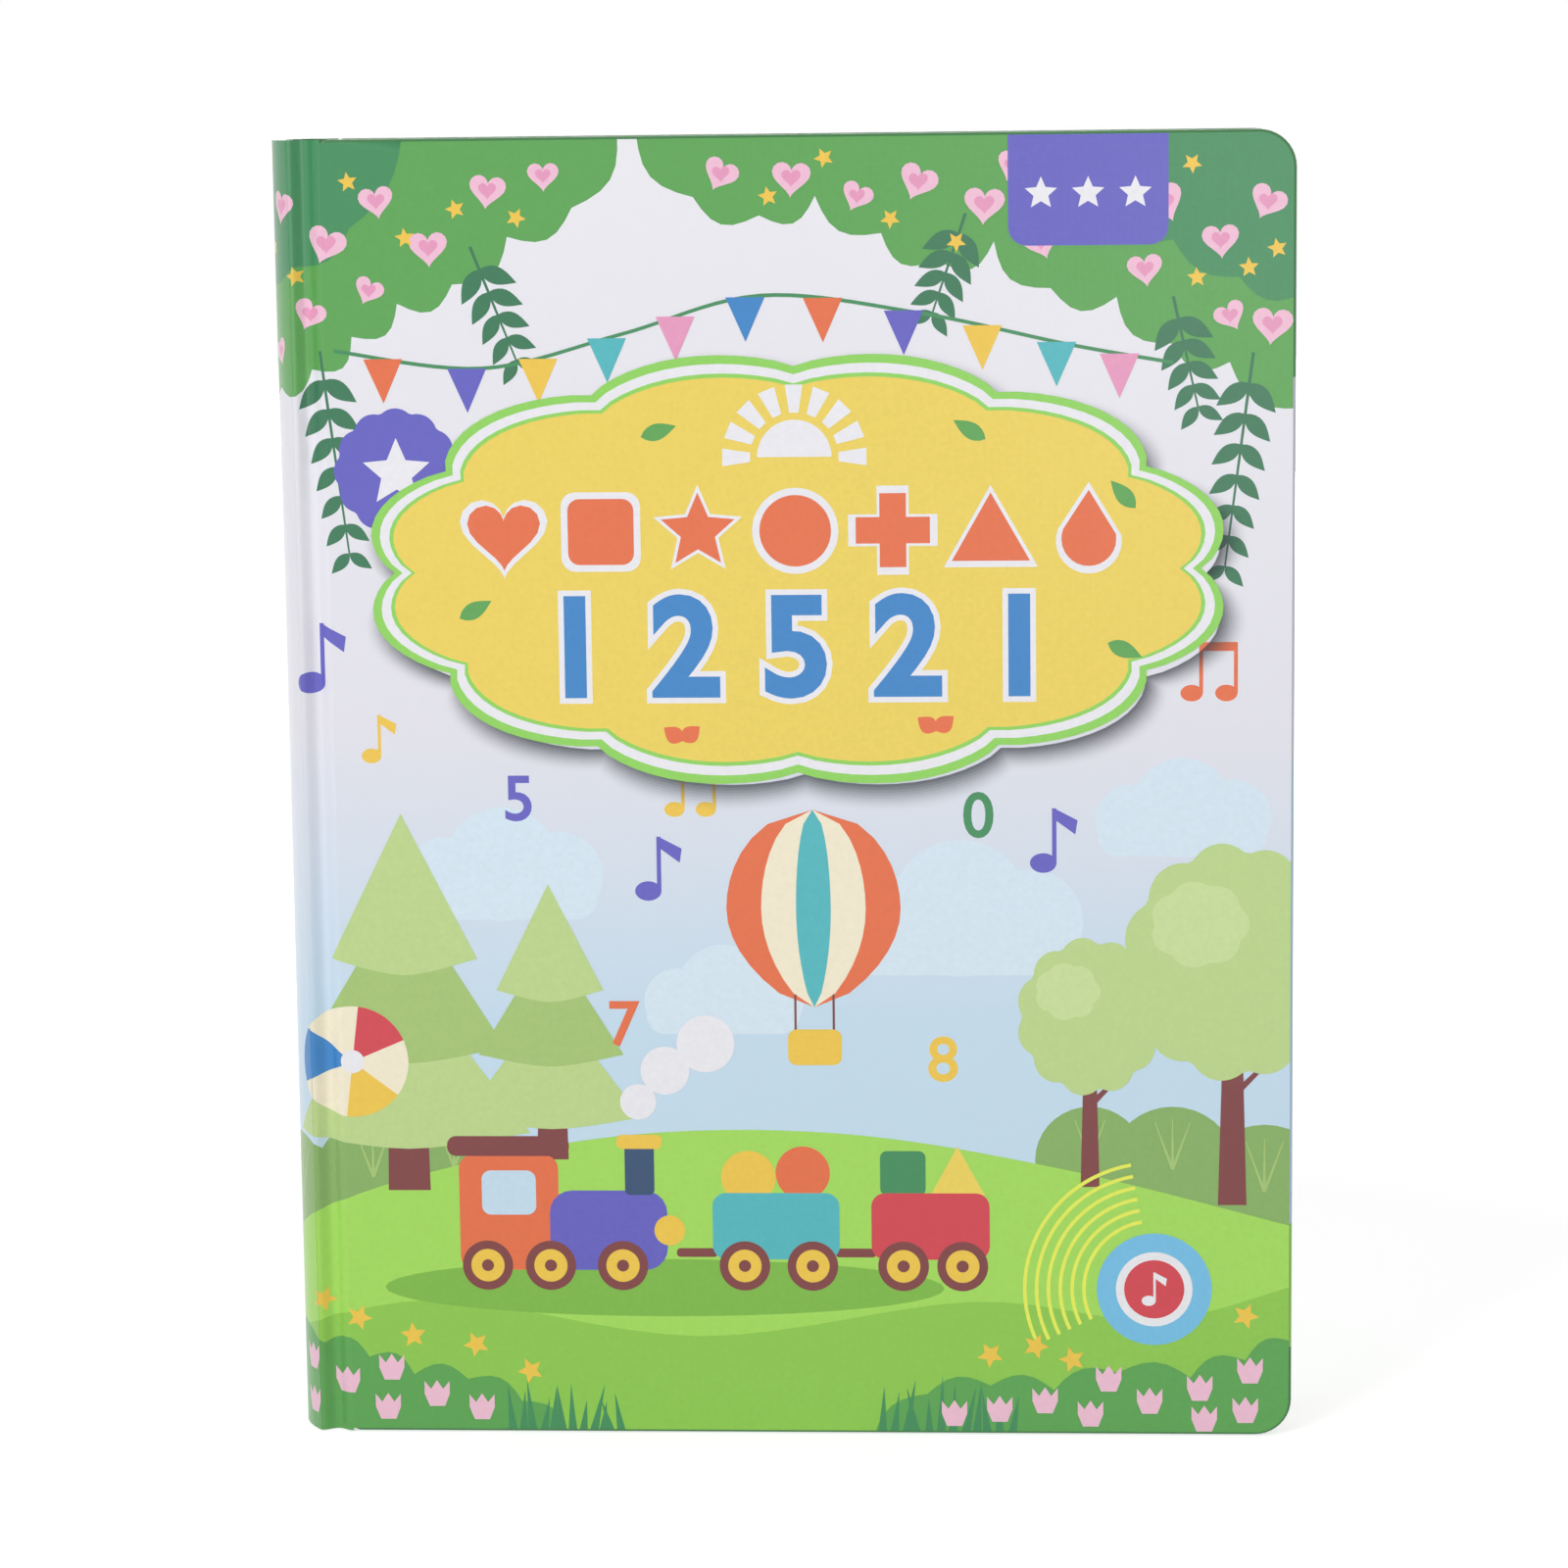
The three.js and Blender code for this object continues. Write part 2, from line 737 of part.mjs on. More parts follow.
function screw(u, w, headOuter, headInner, tip) {
  const profile = [
    [0, headOuter],
    [screwHeadRadius * 0.8, headOuter],
    [screwHeadRadius, headOuter + (headInner - headOuter) * 0.5],
    [screwHeadRadius, headInner],
    [screwShankRadius, headInner],
    [screwShankRadius, tip - (tip - headInner) * 0.15],
    [0, tip],
  ];
  const outwards = headOuter < tip;
  const blank = moduleTurned(u, w, outwards ? profile : [...profile].reverse(), 14);
  const face = outwards ? headOuter - 1 : headOuter + 1;
  const floor = outwards ? headOuter + slotDepth : headOuter - slotDepth;
  const [d0, d1] = outwards ? [face, floor] : [floor, face];
  const reach = screwHeadRadius * 0.65;
  const across = moduleBox(u - reach, u + reach, d0, d1, w - slotWidth / 2, w + slotWidth / 2);
  const upright = moduleBox(u - slotWidth / 2, u + slotWidth / 2, d0, d1, w - reach, w + reach);
  return cut(blank, across, upright);
}

const lidSeatDepth = lidOuterDepth - screwHeadHeight * 0.6;
screwPosts.forEach(([u, w], i) => {
  const tip = lidSeatDepth - lidScrewLength;
  place(
    `lid_screw_${i + 1}`,
    screw(u, w, lidSeatDepth - glueLine + screwHeadHeight * 0.6, lidSeatDepth + glueLine, tip),
    steel,
  );
});

// Battery door: flush plate with two tabs, a screw ear and a row of finger grooves

function batteryDoor() {
  const inner = glueLine;
  const left = bayLeft - bayWall + fit;
  const plate = moduleBox(
    left,
    bayRight + bayWall - fit,
    inner,
    doorThickness,
    bayBottom - bayWall + fit,
    bayTop + bayWall - fit,
  );
  const ear = moduleRod(doorEarX, doorMiddle, doorEarRadius, inner, doorThickness, 20);
  const neck = moduleBox(
    bayRight,
    doorEarX,
    inner,
    doorThickness,
    doorMiddle - doorEarRadius,
    doorMiddle + doorEarRadius,
  );
  const headCup = moduleRod(
    doorEarX,
    doorMiddle,
    screwHeadRadius + 2 * fit,
    inner,
    doorThickness + screwHeadHeight,
    18,
  );
  const tabs = doorTabPlaces.flatMap((w) => {
    const top = mouldedWall + fit;
    const low = top + doorTabThickness;
    const bottom = w - doorTabWidth / 2;
    const upper = w + doorTabWidth / 2;
    return [
      moduleBox(bayLeft - bayWall - doorTabReach, bayLeft + 1, top, low, bottom, upper),
      moduleBox(left + fit, bayLeft + 1, doorThickness - 0.2, low, bottom, upper),
    ];
  });
  const grips = [...Array(doorGripCount).keys()].map((i) => {
    const u = bayRight - 10 + i * 2.4;
    return moduleBox(u, u + 1.2, -1, doorThickness * 0.45, doorMiddle - doorGripHalf, doorMiddle + doorGripHalf);
  });
  const shankHole = moduleRod(doorEarX, doorMiddle, screwShankRadius + fit, -1, doorThickness + 3, 14);
  const headSeat = moduleRod(doorEarX, doorMiddle, screwHeadRadius + fit, -1, doorThickness, 18);
  return cut(join(plate, neck, ear, headCup, ...tabs), ...grips, shankHole, headSeat);
}

place("battery_door", batteryDoor(), whitePlastic);
const doorHeadInner = doorThickness - glueLine;
place(
  "door_screw",
  screw(doorEarX, doorMiddle, doorHeadInner - screwHeadHeight, doorHeadInner, doorThickness + doorScrewReach),
  steel,
);

// Three cells side by side, end for end, with their contacts

const cellRows = [...Array(cellCount).keys()].map((i) => ({
  w: bayTop - cellPitch / 2 - i * cellPitch,
  nubLeft: i % 2 === 0,
}));
const cellLeftEnd = bayLeft + contactThickness + 2 * glueLine;
const springSpace = springLength;

function cell(w, nubLeft) {
  const can = cellLength - cellNubLength;
  const profile = [
    [0, 0],
    [cellRadius * 0.86, 0],
    [cellRadius, 0.5],
    [cellRadius, can - 0.5],
    [cellRadius * 0.86, can],
    [cellNubRadius, can],
    [cellNubRadius, cellLength],
    [0, cellLength],
  ].map(([radius, along]) => new THREE.Vector2(radius, along));
  const made = new THREE.LatheGeometry(profile, 20);
  made.rotateZ(nubLeft ? Math.PI / 2 : -Math.PI / 2);
  const start = nubLeft ? cellLeftEnd + cellLength : cellLeftEnd + springSpace;
  return made.translate(moduleX + start, atDepth(cellDepth), moduleZ + w);
}

cellRows.forEach(({ w, nubLeft }, i) => place(`cell_${i + 1}`, cell(w, nubLeft), cellJacket));

function contactPlate(atLeft, w, height) {
  const u = atLeft ? bayLeft + glueLine : bayRight - glueLine - contactThickness;
  return moduleBox(
    u,
    u + contactThickness,
    cellDepth - contactSize / 2,
    cellDepth + contactSize / 2,
    w - height / 2,
    w + height / 2,
  );
}

// A coil that tapers from the contact plate towards the cell, its end turned flat.
class SpringLine extends THREE.Curve {
  constructor(start, direction, w) {
    super();
    Object.assign(this, { start, direction, w });
  }

  getPoint(t) {
    const radius = springRadius * (1 - 0.3 * t);
    const angle = 2 * Math.PI * springTurns * t;
    const rise = springWire * 0.6 + (springLength - glueLine - springWire * 1.6) * Math.min(t * 1.1, 1);
    return new THREE.Vector3(
      moduleX + this.start + this.direction * rise,
      atDepth(cellDepth) + radius * Math.cos(angle),
      moduleZ + this.w + radius * Math.sin(angle),
    );
  }
}

function ringShape(radius, sides) {
  const points = [...Array(sides).keys()].map((i) => {
    const angle = (2 * Math.PI * i) / sides;
    return new THREE.Vector2(radius * Math.cos(angle), radius * Math.sin(angle));
  });
  return new THREE.Shape(points);
}

function spring(atLeft, w) {
  const start = atLeft ? bayLeft + glueLine + contactThickness : bayRight - glueLine - contactThickness;
  const path = new SpringLine(start, atLeft ? 1 : -1, w);
  return new THREE.ExtrudeGeometry(ringShape(springWire, 5), {
    steps: 11 * springTurns,
    extrudePath: path,
    bevelEnabled: false,
  });
}

const [topCell, middleCell, bottomCell] = cellRows;

place(
  "contact_output_plus",
  join(
    contactPlate(true, topCell.w, contactSize),
    moduleBox(
      bayLeft + glueLine,
      bayLeft + glueLine + contactThickness,
      cellDepth - 0.8,
      cellDepth + 0.8,
      topCell.w,
      bayTop + bayWall + tagReach,
    ),
  ),
  springSteel,
);
place(
  "contact_bridge_right",
  join(
    contactPlate(false, (topCell.w + middleCell.w) / 2, contactSize + cellPitch),
    spring(false, topCell.w),
  ),
  springSteel,
);
place(
  "contact_bridge_left",
  join(
    contactPlate(true, (middleCell.w + bottomCell.w) / 2, contactSize + cellPitch),
    spring(true, middleCell.w),
  ),
  springSteel,
);
place(
  "contact_output_minus",
  join(
    contactPlate(false, bottomCell.w, contactSize),
    spring(false, bottomCell.w),
    moduleBox(
      bayRight - glueLine - contactThickness,
      bayRight + bayWall + tagReach,
      cellDepth - contactThickness / 2,
      cellDepth + contactThickness / 2,
      minusTagW - 0.8,
      minusTagW + 0.8,
    ),
  ),
  springSteel,
);

// Loudspeaker: foam ring, pressed basket, paper cone and magnet

const gasketDepth = mouldedWall + glueLine;
const flangeFace = gasketDepth + gasketThickness + glueLine;
const basketInner = speakerRadius - speakerFlange;
const basketEnd = flangeFace + speakerFlangeThickness + speakerBasketDepth;
const magnetSeat = basketEnd + glueLine;

place(
  "speaker_gasket",
  cut(
    moduleRod(speakerCentreX, 0, speakerRadius - fit, gasketDepth, gasketDepth + gasketThickness, 24),
    moduleRod(speakerCentreX, 0, basketInner, 0, gasketDepth + 4, 24),
  ),
  foam,
);
place(
  "speaker_basket",
  moduleTurned(speakerCentreX, 0, [
    [0, basketEnd - speakerBasketWall],
    [magnetRadius - 0.4, basketEnd - speakerBasketWall],
    [basketInner, flangeFace + speakerFlangeThickness],
    [basketInner, flangeFace],
    [speakerRadius, flangeFace],
    [speakerRadius, flangeFace + speakerFlangeThickness],
    [basketInner + speakerBasketWall * 1.6, flangeFace + speakerFlangeThickness],
    [magnetRadius + speakerBasketWall, basketEnd],
    [0, basketEnd],
  ]),
  steel,
);
place(
  "speaker_cone",
  moduleTurned(speakerCentreX, 0, [
    [0, flangeFace + 1.3],
    [magnetRadius * 0.3, flangeFace + 1.6],
    [magnetRadius * 0.55, flangeFace + 2.5],
    [basketInner - 2.2, flangeFace + 0.4],
    [basketInner - 1.2, flangeFace + 0.1],
    [basketInner - fit, flangeFace + 0.4],
    [basketInner - fit, flangeFace + 0.8],
    [magnetRadius * 0.55, flangeFace + 3.2],
    [0, flangeFace + 3.2],
  ]),
  paperCone,
);
place(
  "speaker_magnet",
  moduleTurned(speakerCentreX, 0, [
    [0, magnetSeat],
    [magnetRadius, magnetSeat],
    [magnetRadius, magnetSeat + magnetDepth - 0.5],
    [magnetRadius - 0.5, magnetSeat + magnetDepth],
    [0, magnetSeat + magnetDepth],
  ]),
  ferrite,
);

// Circuit board, its chip, ribbon socket and slide switch

place(
  "circuit_board",
  moduleBox(pcbLeft, pcbLeft + pcbWidth, pcbDepth, pcbFrontDepth, pcbBottom, pcbBottom + pcbHeight),
  boardGreen,
);
place(
  "sound_chip",
  moduleTurned(pcbLeft + pcbWidth * 0.78, pcbMiddle, [
    [0, pcbFrontDepth + glueLine],
    [chipRadius, pcbFrontDepth + glueLine],
    [chipRadius * 0.9, pcbFrontDepth + chipHeight * 0.6],
    [chipRadius * 0.5, pcbFrontDepth + chipHeight * 0.95],
    [0, pcbFrontDepth + chipHeight],
  ]),
  blackEpoxy,
);

const socketDepth = pcbFrontDepth + glueLine;
const socketHeight = 2;
const socketLength = 5;
const socketX = pcbLeft + socketInset;
const ribbonPlugDepth = socketDepth + socketHeight / 2;

place(
  "ribbon_socket",
  cut(
    moduleBox(
      socketX,
      socketX + socketLength,
      socketDepth,
      socketDepth + socketHeight,
      ribbonMiddle - ribbonWidth / 2 - 1.5,
      ribbonMiddle + ribbonWidth / 2 + 1.5,
    ),
    moduleBox(
      socketX - 1,
      socketX + socketLength * 0.6,
      ribbonPlugDepth - ribbonThickness / 2 - fit,
      ribbonPlugDepth + ribbonThickness / 2 + fit,
      ribbonMiddle - ribbonWidth / 2 - fit,
      ribbonMiddle + ribbonWidth / 2 + fit,
    ),
  ),
  whitePlastic,
);

// The flat film lead that comes in from the pages: along the well's channel, through the lid, into its socket.
function keyRibbon() {
  const low = atDepth(ribbonPlugDepth);
  const high = atDepth(lidOuterDepth) + ribbonThickness / 2;
  const line = [
    [moduleX + socketX + socketLength * 0.5, low],
    [moduleX + ribbonSlotX + 4, low],
    [moduleX + ribbonSlotX + 0.6, (low + high) / 2],
    [moduleX + ribbonSlotX - 1, high],
    [boardX + fit + glueLine, high],
  ].map(([x, y]) => new THREE.Vector2(x, y));
  const sides = [1, -1].map((side) =>
    line.map((point, i) => {
      const before = line[Math.max(i - 1, 0)];
      const after = line[Math.min(i + 1, line.length - 1)];
      const along = after.clone().sub(before).normalize();
      return new THREE.Vector2(-along.y, along.x).multiplyScalar((side * ribbonThickness) / 2).add(point);
    }),
  );
  const section = new THREE.Shape([...sides[0], ...sides[1].reverse()]);
  const made = new THREE.ExtrudeGeometry(section, { depth: ribbonWidth, bevelEnabled: false });
  return made.translate(0, 0, moduleZ + ribbonMiddle - ribbonWidth / 2);
}

place("key_ribbon", keyRibbon(), amberFilm);

const switchFace = pcbDepth - glueLine - switchBodyDepth;
const thumbFlange = 1;
const thumbFlangeFace = mouldedWall + fit;
const leverPocket = thumbFlangeFace + thumbFlange - 0.8;

place(
  "switch_body",
  moduleBox(
    switchX - switchWidth / 2,
    switchX + switchWidth / 2,
    switchFace,
    pcbDepth - glueLine,
    pcbMiddle - switchHeight / 2,
    pcbMiddle + switchHeight / 2,
  ),
  steel,
);
place(
  "switch_lever",
  moduleBox(
    thumbRest - leverSize / 2,
    thumbRest + leverSize / 2,
    leverPocket + fit,
    switchFace - glueLine,
    pcbMiddle - leverSize / 2,
    pcbMiddle + leverSize / 2,
  ),
  darkPlastic,
);
place(
  "switch_thumb",
  cut(
    join(
      moduleBox(
        thumbRest - thumbWidth / 2,
        thumbRest + thumbWidth / 2,
        glueLine,
        thumbFlangeFace + 0.2,
        pcbMiddle - thumbHeight / 2,
        pcbMiddle + thumbHeight / 2,
      ),
      moduleBox(
        thumbRest - thumbWidth / 2 - switchTravel,
        thumbRest + thumbWidth / 2 + switchTravel,
        thumbFlangeFace,
        thumbFlangeFace + thumbFlange,
        pcbMiddle - thumbHeight,
        pcbMiddle + thumbHeight,
      ),
    ),
    moduleBox(
      thumbRest - leverSize / 2 - fit,
      thumbRest + leverSize / 2 + fit,
      leverPocket,
      thumbFlangeFace + thumbFlange + 1,
      pcbMiddle - leverSize / 2 - fit,
      pcbMiddle + leverSize / 2 + fit,
    ),
    ...[-1, 0, 1].map((i) =>
      moduleBox(
        thumbRest + i * 1.2 - 0.25,
        thumbRest + i * 1.2 + 0.25,
        -1,
        0.5,
        pcbMiddle - thumbHeight,
        pcbMiddle + thumbHeight,
      ),
    ),
  ),
  darkPlastic,
);

// Leads, held inside the module along their whole route. Each point is [u, depth, w].

function lead(points) {
  const path = new THREE.CatmullRomCurve3(
    points.map(([u, depth, w]) => new THREE.Vector3(moduleX + u, atDepth(depth), moduleZ + w)),
  );
  return new THREE.ExtrudeGeometry(ringShape(leadRadius, 6), {
    steps: 5 * (points.length - 1),
    extrudePath: path,
    bevelEnabled: false,
  });
}

const leadOnPcb = pcbFrontDepth + leadRadius + glueLine;
const leadOverhead = lidInnerDepth - leadRadius - 2 * fit;
const speakerLeadU = speakerCentreX + magnetRadius + speakerBasketWall + 1.6;
const pcbPadU = pcbLeft + 1.4;

function speakerLead(terminalW, padW) {
  return lead([
    [speakerLeadU, basketEnd + 0.6, terminalW],
    [speakerLeadU + leadStep, leadOverhead - 1, terminalW + 1],
    [speakerCentreX + speakerRadius + leadStep, leadOverhead - 1, padW],
    [pcbPadU - leadStep, leadOnPcb, padW],
    [pcbPadU, leadOnPcb, padW],
  ]);
}

place("speaker_lead_red", speakerLead(3, pcbBottom + 2.8), redSleeve);
place("speaker_lead_black", speakerLead(-2, pcbBottom + 1.2), blackSleeve);

place(
  "cell_lead_red",
  lead([
    [bayLeft + 0.3, cellDepth, pcbBottom - leadRadius - fit],
    [bayLeft + 0.9, leadOnPcb, pcbBottom - leadRadius - fit],
    [pcbPadU + 0.7 * leadStep, leadOnPcb, pcbBottom - leadRadius - fit],
    [pcbPadU + 1.2 * leadStep, leadOnPcb, pcbBottom + 3 * leadRadius],
  ]),
  redSleeve,
);
place(
  "cell_lead_black",
  lead([
    [bayRight + bayWall + tagReach + leadRadius + fit, cellDepth, minusTagW],
    [bayRight + bayWall + tagReach + leadRadius + fit, leadOverhead - 2, minusTagW + 3],
    [bayRight + bayWall + tagReach, leadOverhead - 1, minusTagW + 2 * leadStep],
    [bayRight + bayWall + tagReach, leadOverhead - 1, bayTop - 2],
    [pcbLeft + pcbWidth + 1, leadOnPcb, pcbBottom + 2.5],
    [pcbLeft + pcbWidth - leadStep, leadOnPcb, pcbBottom + 2.5],
  ]),
  blackSleeve,
);

export default book;
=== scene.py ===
# %% [markdown]
# # A child's hardback sound book in Blender
# The real object is a hardback picture book, about 220 by 285 mm, with a bowed spine, thick card
# leaves, press keys on the first leaf, and a battery sound module let into the back cover.
# Its solids come in as a fixed frame. This lesson gives them their looks: a printed and laminated
# wrap on the case, card, plastic and metal inside, a white studio and a camera.
# Blender's lengths are metres and +Z is up. Lengths on the paper are in millimetres until MM
# turns them into metres.

import json
import math
import random

import bmesh
import bpy
from mathutils import Matrix, Vector


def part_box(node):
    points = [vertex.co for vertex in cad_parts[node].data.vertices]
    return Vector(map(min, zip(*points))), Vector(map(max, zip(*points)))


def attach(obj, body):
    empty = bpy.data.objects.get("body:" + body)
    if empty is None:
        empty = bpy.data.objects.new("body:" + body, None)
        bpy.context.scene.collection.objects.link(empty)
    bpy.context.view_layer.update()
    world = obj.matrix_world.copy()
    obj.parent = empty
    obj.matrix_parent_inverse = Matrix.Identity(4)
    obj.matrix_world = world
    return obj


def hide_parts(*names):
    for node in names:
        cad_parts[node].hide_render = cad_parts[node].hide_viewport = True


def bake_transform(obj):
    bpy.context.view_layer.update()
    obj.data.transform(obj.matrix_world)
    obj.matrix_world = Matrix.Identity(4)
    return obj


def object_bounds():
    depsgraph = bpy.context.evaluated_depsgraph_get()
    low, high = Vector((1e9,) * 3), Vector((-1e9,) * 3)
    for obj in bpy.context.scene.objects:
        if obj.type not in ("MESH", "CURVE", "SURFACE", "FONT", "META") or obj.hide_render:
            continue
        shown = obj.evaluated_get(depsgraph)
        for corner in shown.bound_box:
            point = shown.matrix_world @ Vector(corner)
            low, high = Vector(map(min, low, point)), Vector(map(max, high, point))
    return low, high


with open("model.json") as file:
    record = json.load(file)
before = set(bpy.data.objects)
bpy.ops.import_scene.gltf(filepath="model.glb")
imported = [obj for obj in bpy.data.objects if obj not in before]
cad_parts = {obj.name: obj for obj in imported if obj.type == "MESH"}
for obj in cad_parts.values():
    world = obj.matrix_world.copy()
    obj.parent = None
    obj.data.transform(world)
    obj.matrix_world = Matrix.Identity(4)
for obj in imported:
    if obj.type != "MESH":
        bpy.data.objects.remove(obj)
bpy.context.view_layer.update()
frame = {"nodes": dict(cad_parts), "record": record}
MM = 0.001


low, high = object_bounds()
print("book size in mm", [round((b - a) / MM, 1) for a, b in zip(low, high)])

# %% [markdown]
# ## Places on the case
# A hardback's case is two stiff boards, a hinge joint beside each one, and a bowed spine, all
# under one printed wrap. The print has to know where each of them begins. Typed numbers would go
# wrong when the book changes, so the places are read from the frame's own boxes. Only what a box
# can't show, such as the joint's width and dip, is given here.

# %% Read the boards and the joint
board_low, board_high = (Vector(c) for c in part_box("front_cover"))
spine_low = Vector(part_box("spine")[0])

BOARD_X = board_low.x / MM
FORE_X = board_high.x / MM
FRONT_Y = board_low.y / MM
HEIGHT = board_high.z / MM
SPINE_X = spine_low.x / MM
JOINT = 7.2  # width of the hinge joint
DIP = 1.9  # how far the joint sinks below the board's face
ROUND = 0.6  # rounding of the board's long edges
CORNER = 8.0  # radius of the board's fore-edge corners
SHOULDER_X = BOARD_X - JOINT
print("board from", round(BOARD_X, 2), "shoulder", round(SHOULDER_X, 2), "spine", round(SPINE_X, 2))

# %% The spine's bow, as part of a circle
SHOULDER_DROP = 0.35  # how much lower the shoulder lies than the board's face
BOW = SHOULDER_X - SPINE_X
HALF_CHORD = -FRONT_Y - SHOULDER_DROP
BOW_RADIUS = (HALF_CHORD**2 + BOW**2) / (2 * BOW)
BOW_CENTRE = SPINE_X + BOW_RADIUS
BOW_ANGLE = math.asin(HALF_CHORD / BOW_RADIUS)
SPINE_U = SHOULDER_X - BOW_RADIUS * BOW_ANGLE
print("the bow's radius in mm", round(BOW_RADIUS, 1), "and half its arc", round(SHOULDER_X - SPINE_U, 1))

# %% [markdown]
# ## Helpers for materials
# Nearly every surface here is one colour with small unevenness: fibres in card, grain in moulded
# plastic. It could be painted as an image, but a procedural material has no seams and stays sharp
# from near by. So each finish is a base colour, a little noise in that colour, and a fine bump.


# %% A written colour as light
def linear(hex_colour):
    """Screen colours are bent towards the dark. A shader wants them straight."""
    values = [int(hex_colour[i : i + 2], 16) / 255 for i in (1, 3, 5)]
    return [v / 12.92 if v <= 0.04045 else ((v + 0.055) / 1.055) ** 2.4 for v in values] + [1]


print("mid grey is", round(linear("#808080")[0], 3), "as light")


# %% A new material with its first values
def start(name, roughness, metallic=0.0, specular=0.5):
    material = bpy.data.materials.new(name)
    material.use_nodes = True
    nodes = material.node_tree.nodes
    shader = nodes["Principled BSDF"]
    shader.inputs["Roughness"].default_value = roughness
    shader.inputs["Metallic"].default_value = metallic
    shader.inputs["Specular IOR Level"].default_value = specular
    return material, nodes, material.node_tree.links, shader


# %% Bump, the piece's own coordinates, and noise
def add_bump(nodes, links, shader, height, distance, strength):
    bump = nodes.new("ShaderNodeBump")
    bump.inputs["Distance"].default_value = distance
    bump.inputs["Strength"].default_value = strength
    links.new(height, bump.inputs["Height"])
    links.new(bump.outputs["Normal"], shader.inputs["Normal"])


def object_coordinates(nodes):
    return nodes.new("ShaderNodeTexCoord").outputs["Object"]


def noise(nodes, links, coordinates, scale, detail=3.0):
    node = nodes.new("ShaderNodeTexNoise")
    node.inputs["Scale"].default_value = scale
    node.inputs["Detail"].default_value = detail
    links.new(coordinates, node.inputs["Vector"])
    return node.outputs["Fac"]


# %% Mottle
def mottled(nodes, links, fac, colour, amount):
    """The colour, a little lighter and darker by the noise."""
    ramp = nodes.new("ShaderNodeMapRange")
    ramp.inputs["To Min"].default_value = 1 - amount
    ramp.inputs["To Max"].default_value = 1 + amount
    links.new(fac, ramp.inputs["Value"])
    mix = nodes.new("ShaderNodeVectorMath")
    mix.operation = "SCALE"
    mix.inputs[0].default_value = colour[:3]
    links.new(ramp.outputs["Result"], mix.inputs["Scale"])
    return mix.outputs["Vector"]


print("helpers for materials: linear, start, add_bump, noise, mottled")

# %% [markdown]
# ## Printed and laminated paper
# The wrap is white paper, printed in flat colours and covered with a satin film, and a faint weave
# shows through it. One image of the whole print would be a way. Here each ink is a small material
# of its own, because shapes cut from it keep sharp edges at any distance. All inks share one
# film: the same weave in the bump, the same satin, and a thin clear coat for the soft highlight.

# %% The paper's weave: two sets of waves, across and up
WEAVE = 1 / (0.75 * MM)  # threads in a metre
WAVE_BANDS = math.pi / 20  # Blender's wave texture counts its bands in this unit


def weave(nodes, links, coordinates):
    waves = []
    for direction in ("X", "Z"):
        wave = nodes.new("ShaderNodeTexWave")
        wave.wave_type = "BANDS"
        wave.bands_direction = direction
        wave.inputs["Scale"].default_value = WEAVE * WAVE_BANDS
        wave.inputs["Distortion"].default_value = 0.6
        wave.inputs["Detail"].default_value = 1.0
        links.new(coordinates, wave.inputs["Vector"])
        waves.append(wave.outputs["Fac"])
    total = nodes.new("ShaderNodeMath")
    total.operation = "ADD"
    links.new(waves[0], total.inputs[0])
    links.new(waves[1], total.inputs[1])
    return total.outputs["Value"]


print("threads in a centimetre", round(WEAVE / 100, 1))

# %% The satin film over the weave
SATIN = (0.3, 0.42)  # roughness where the film is smoothest and dullest
COAT, COAT_ROUGHNESS = 0.3, 0.16


def laminate(nodes, links, shader, coordinates):
    grain = weave(nodes, links, coordinates)
    add_bump(nodes, links, shader, grain, 0.02 * MM, 0.35)
    rough = nodes.new("ShaderNodeMapRange")
    rough.inputs["To Min"].default_value = SATIN[0]
    rough.inputs["To Max"].default_value = SATIN[1]
    links.new(noise(nodes, links, coordinates, 60), rough.inputs["Value"])
    links.new(rough.outputs["Result"], shader.inputs["Roughness"])
    shader.inputs["Coat Weight"].default_value = COAT
    shader.inputs["Coat Roughness"].default_value = COAT_ROUGHNESS


# %% One ink for each colour
inks = {}


def ink(hex_colour):
    if hex_colour not in inks:
        material, nodes, links, shader = start("ink_" + hex_colour[1:], 0.36, specular=0.35)
        coordinates = object_coordinates(nodes)
        fac = noise(nodes, links, coordinates, 900, 2)
        links.new(mottled(nodes, links, fac, linear(hex_colour), 0.05), shader.inputs["Base Color"])
        laminate(nodes, links, shader, coordinates)
        inks[hex_colour] = material
    return inks[hex_colour]


# %% An ink that changes with height
def height_ramp(name, stops, interpolation="LINEAR"):
    """Printed colours that change with height. Each stop is (height in mm, colour)."""
    material, nodes, links, shader = start(name, 0.36, specular=0.35)
    coordinates = object_coordinates(nodes)
    split = nodes.new("ShaderNodeSeparateXYZ")
    links.new(coordinates, split.inputs["Vector"])
    scaled = nodes.new("ShaderNodeMath")
    scaled.operation = "DIVIDE"
    scaled.inputs[1].default_value = HEIGHT * MM
    links.new(split.outputs["Z"], scaled.inputs[0])
    ramp = nodes.new("ShaderNodeValToRGB")
    ramp.color_ramp.interpolation = interpolation
    elements = ramp.color_ramp.elements
    while len(elements) < len(stops):
        elements.new(0.5)
    for element, (z, colour) in zip(elements, stops):
        element.position = z / HEIGHT
        element.color = linear(colour)
    links.new(scaled.outputs["Value"], ramp.inputs["Fac"])
    links.new(ramp.outputs["Color"], shader.inputs["Base Color"])
    laminate(nodes, links, shader, coordinates)
    return material


# %% [markdown]
# ## The palette
# Books of this kind are printed in a few clear, friendly colours. They are named once here, in a
# maker's words, so that the same green or yellow comes back in every motif. They were compared
# with the photograph until they rendered alike under the lamps below.

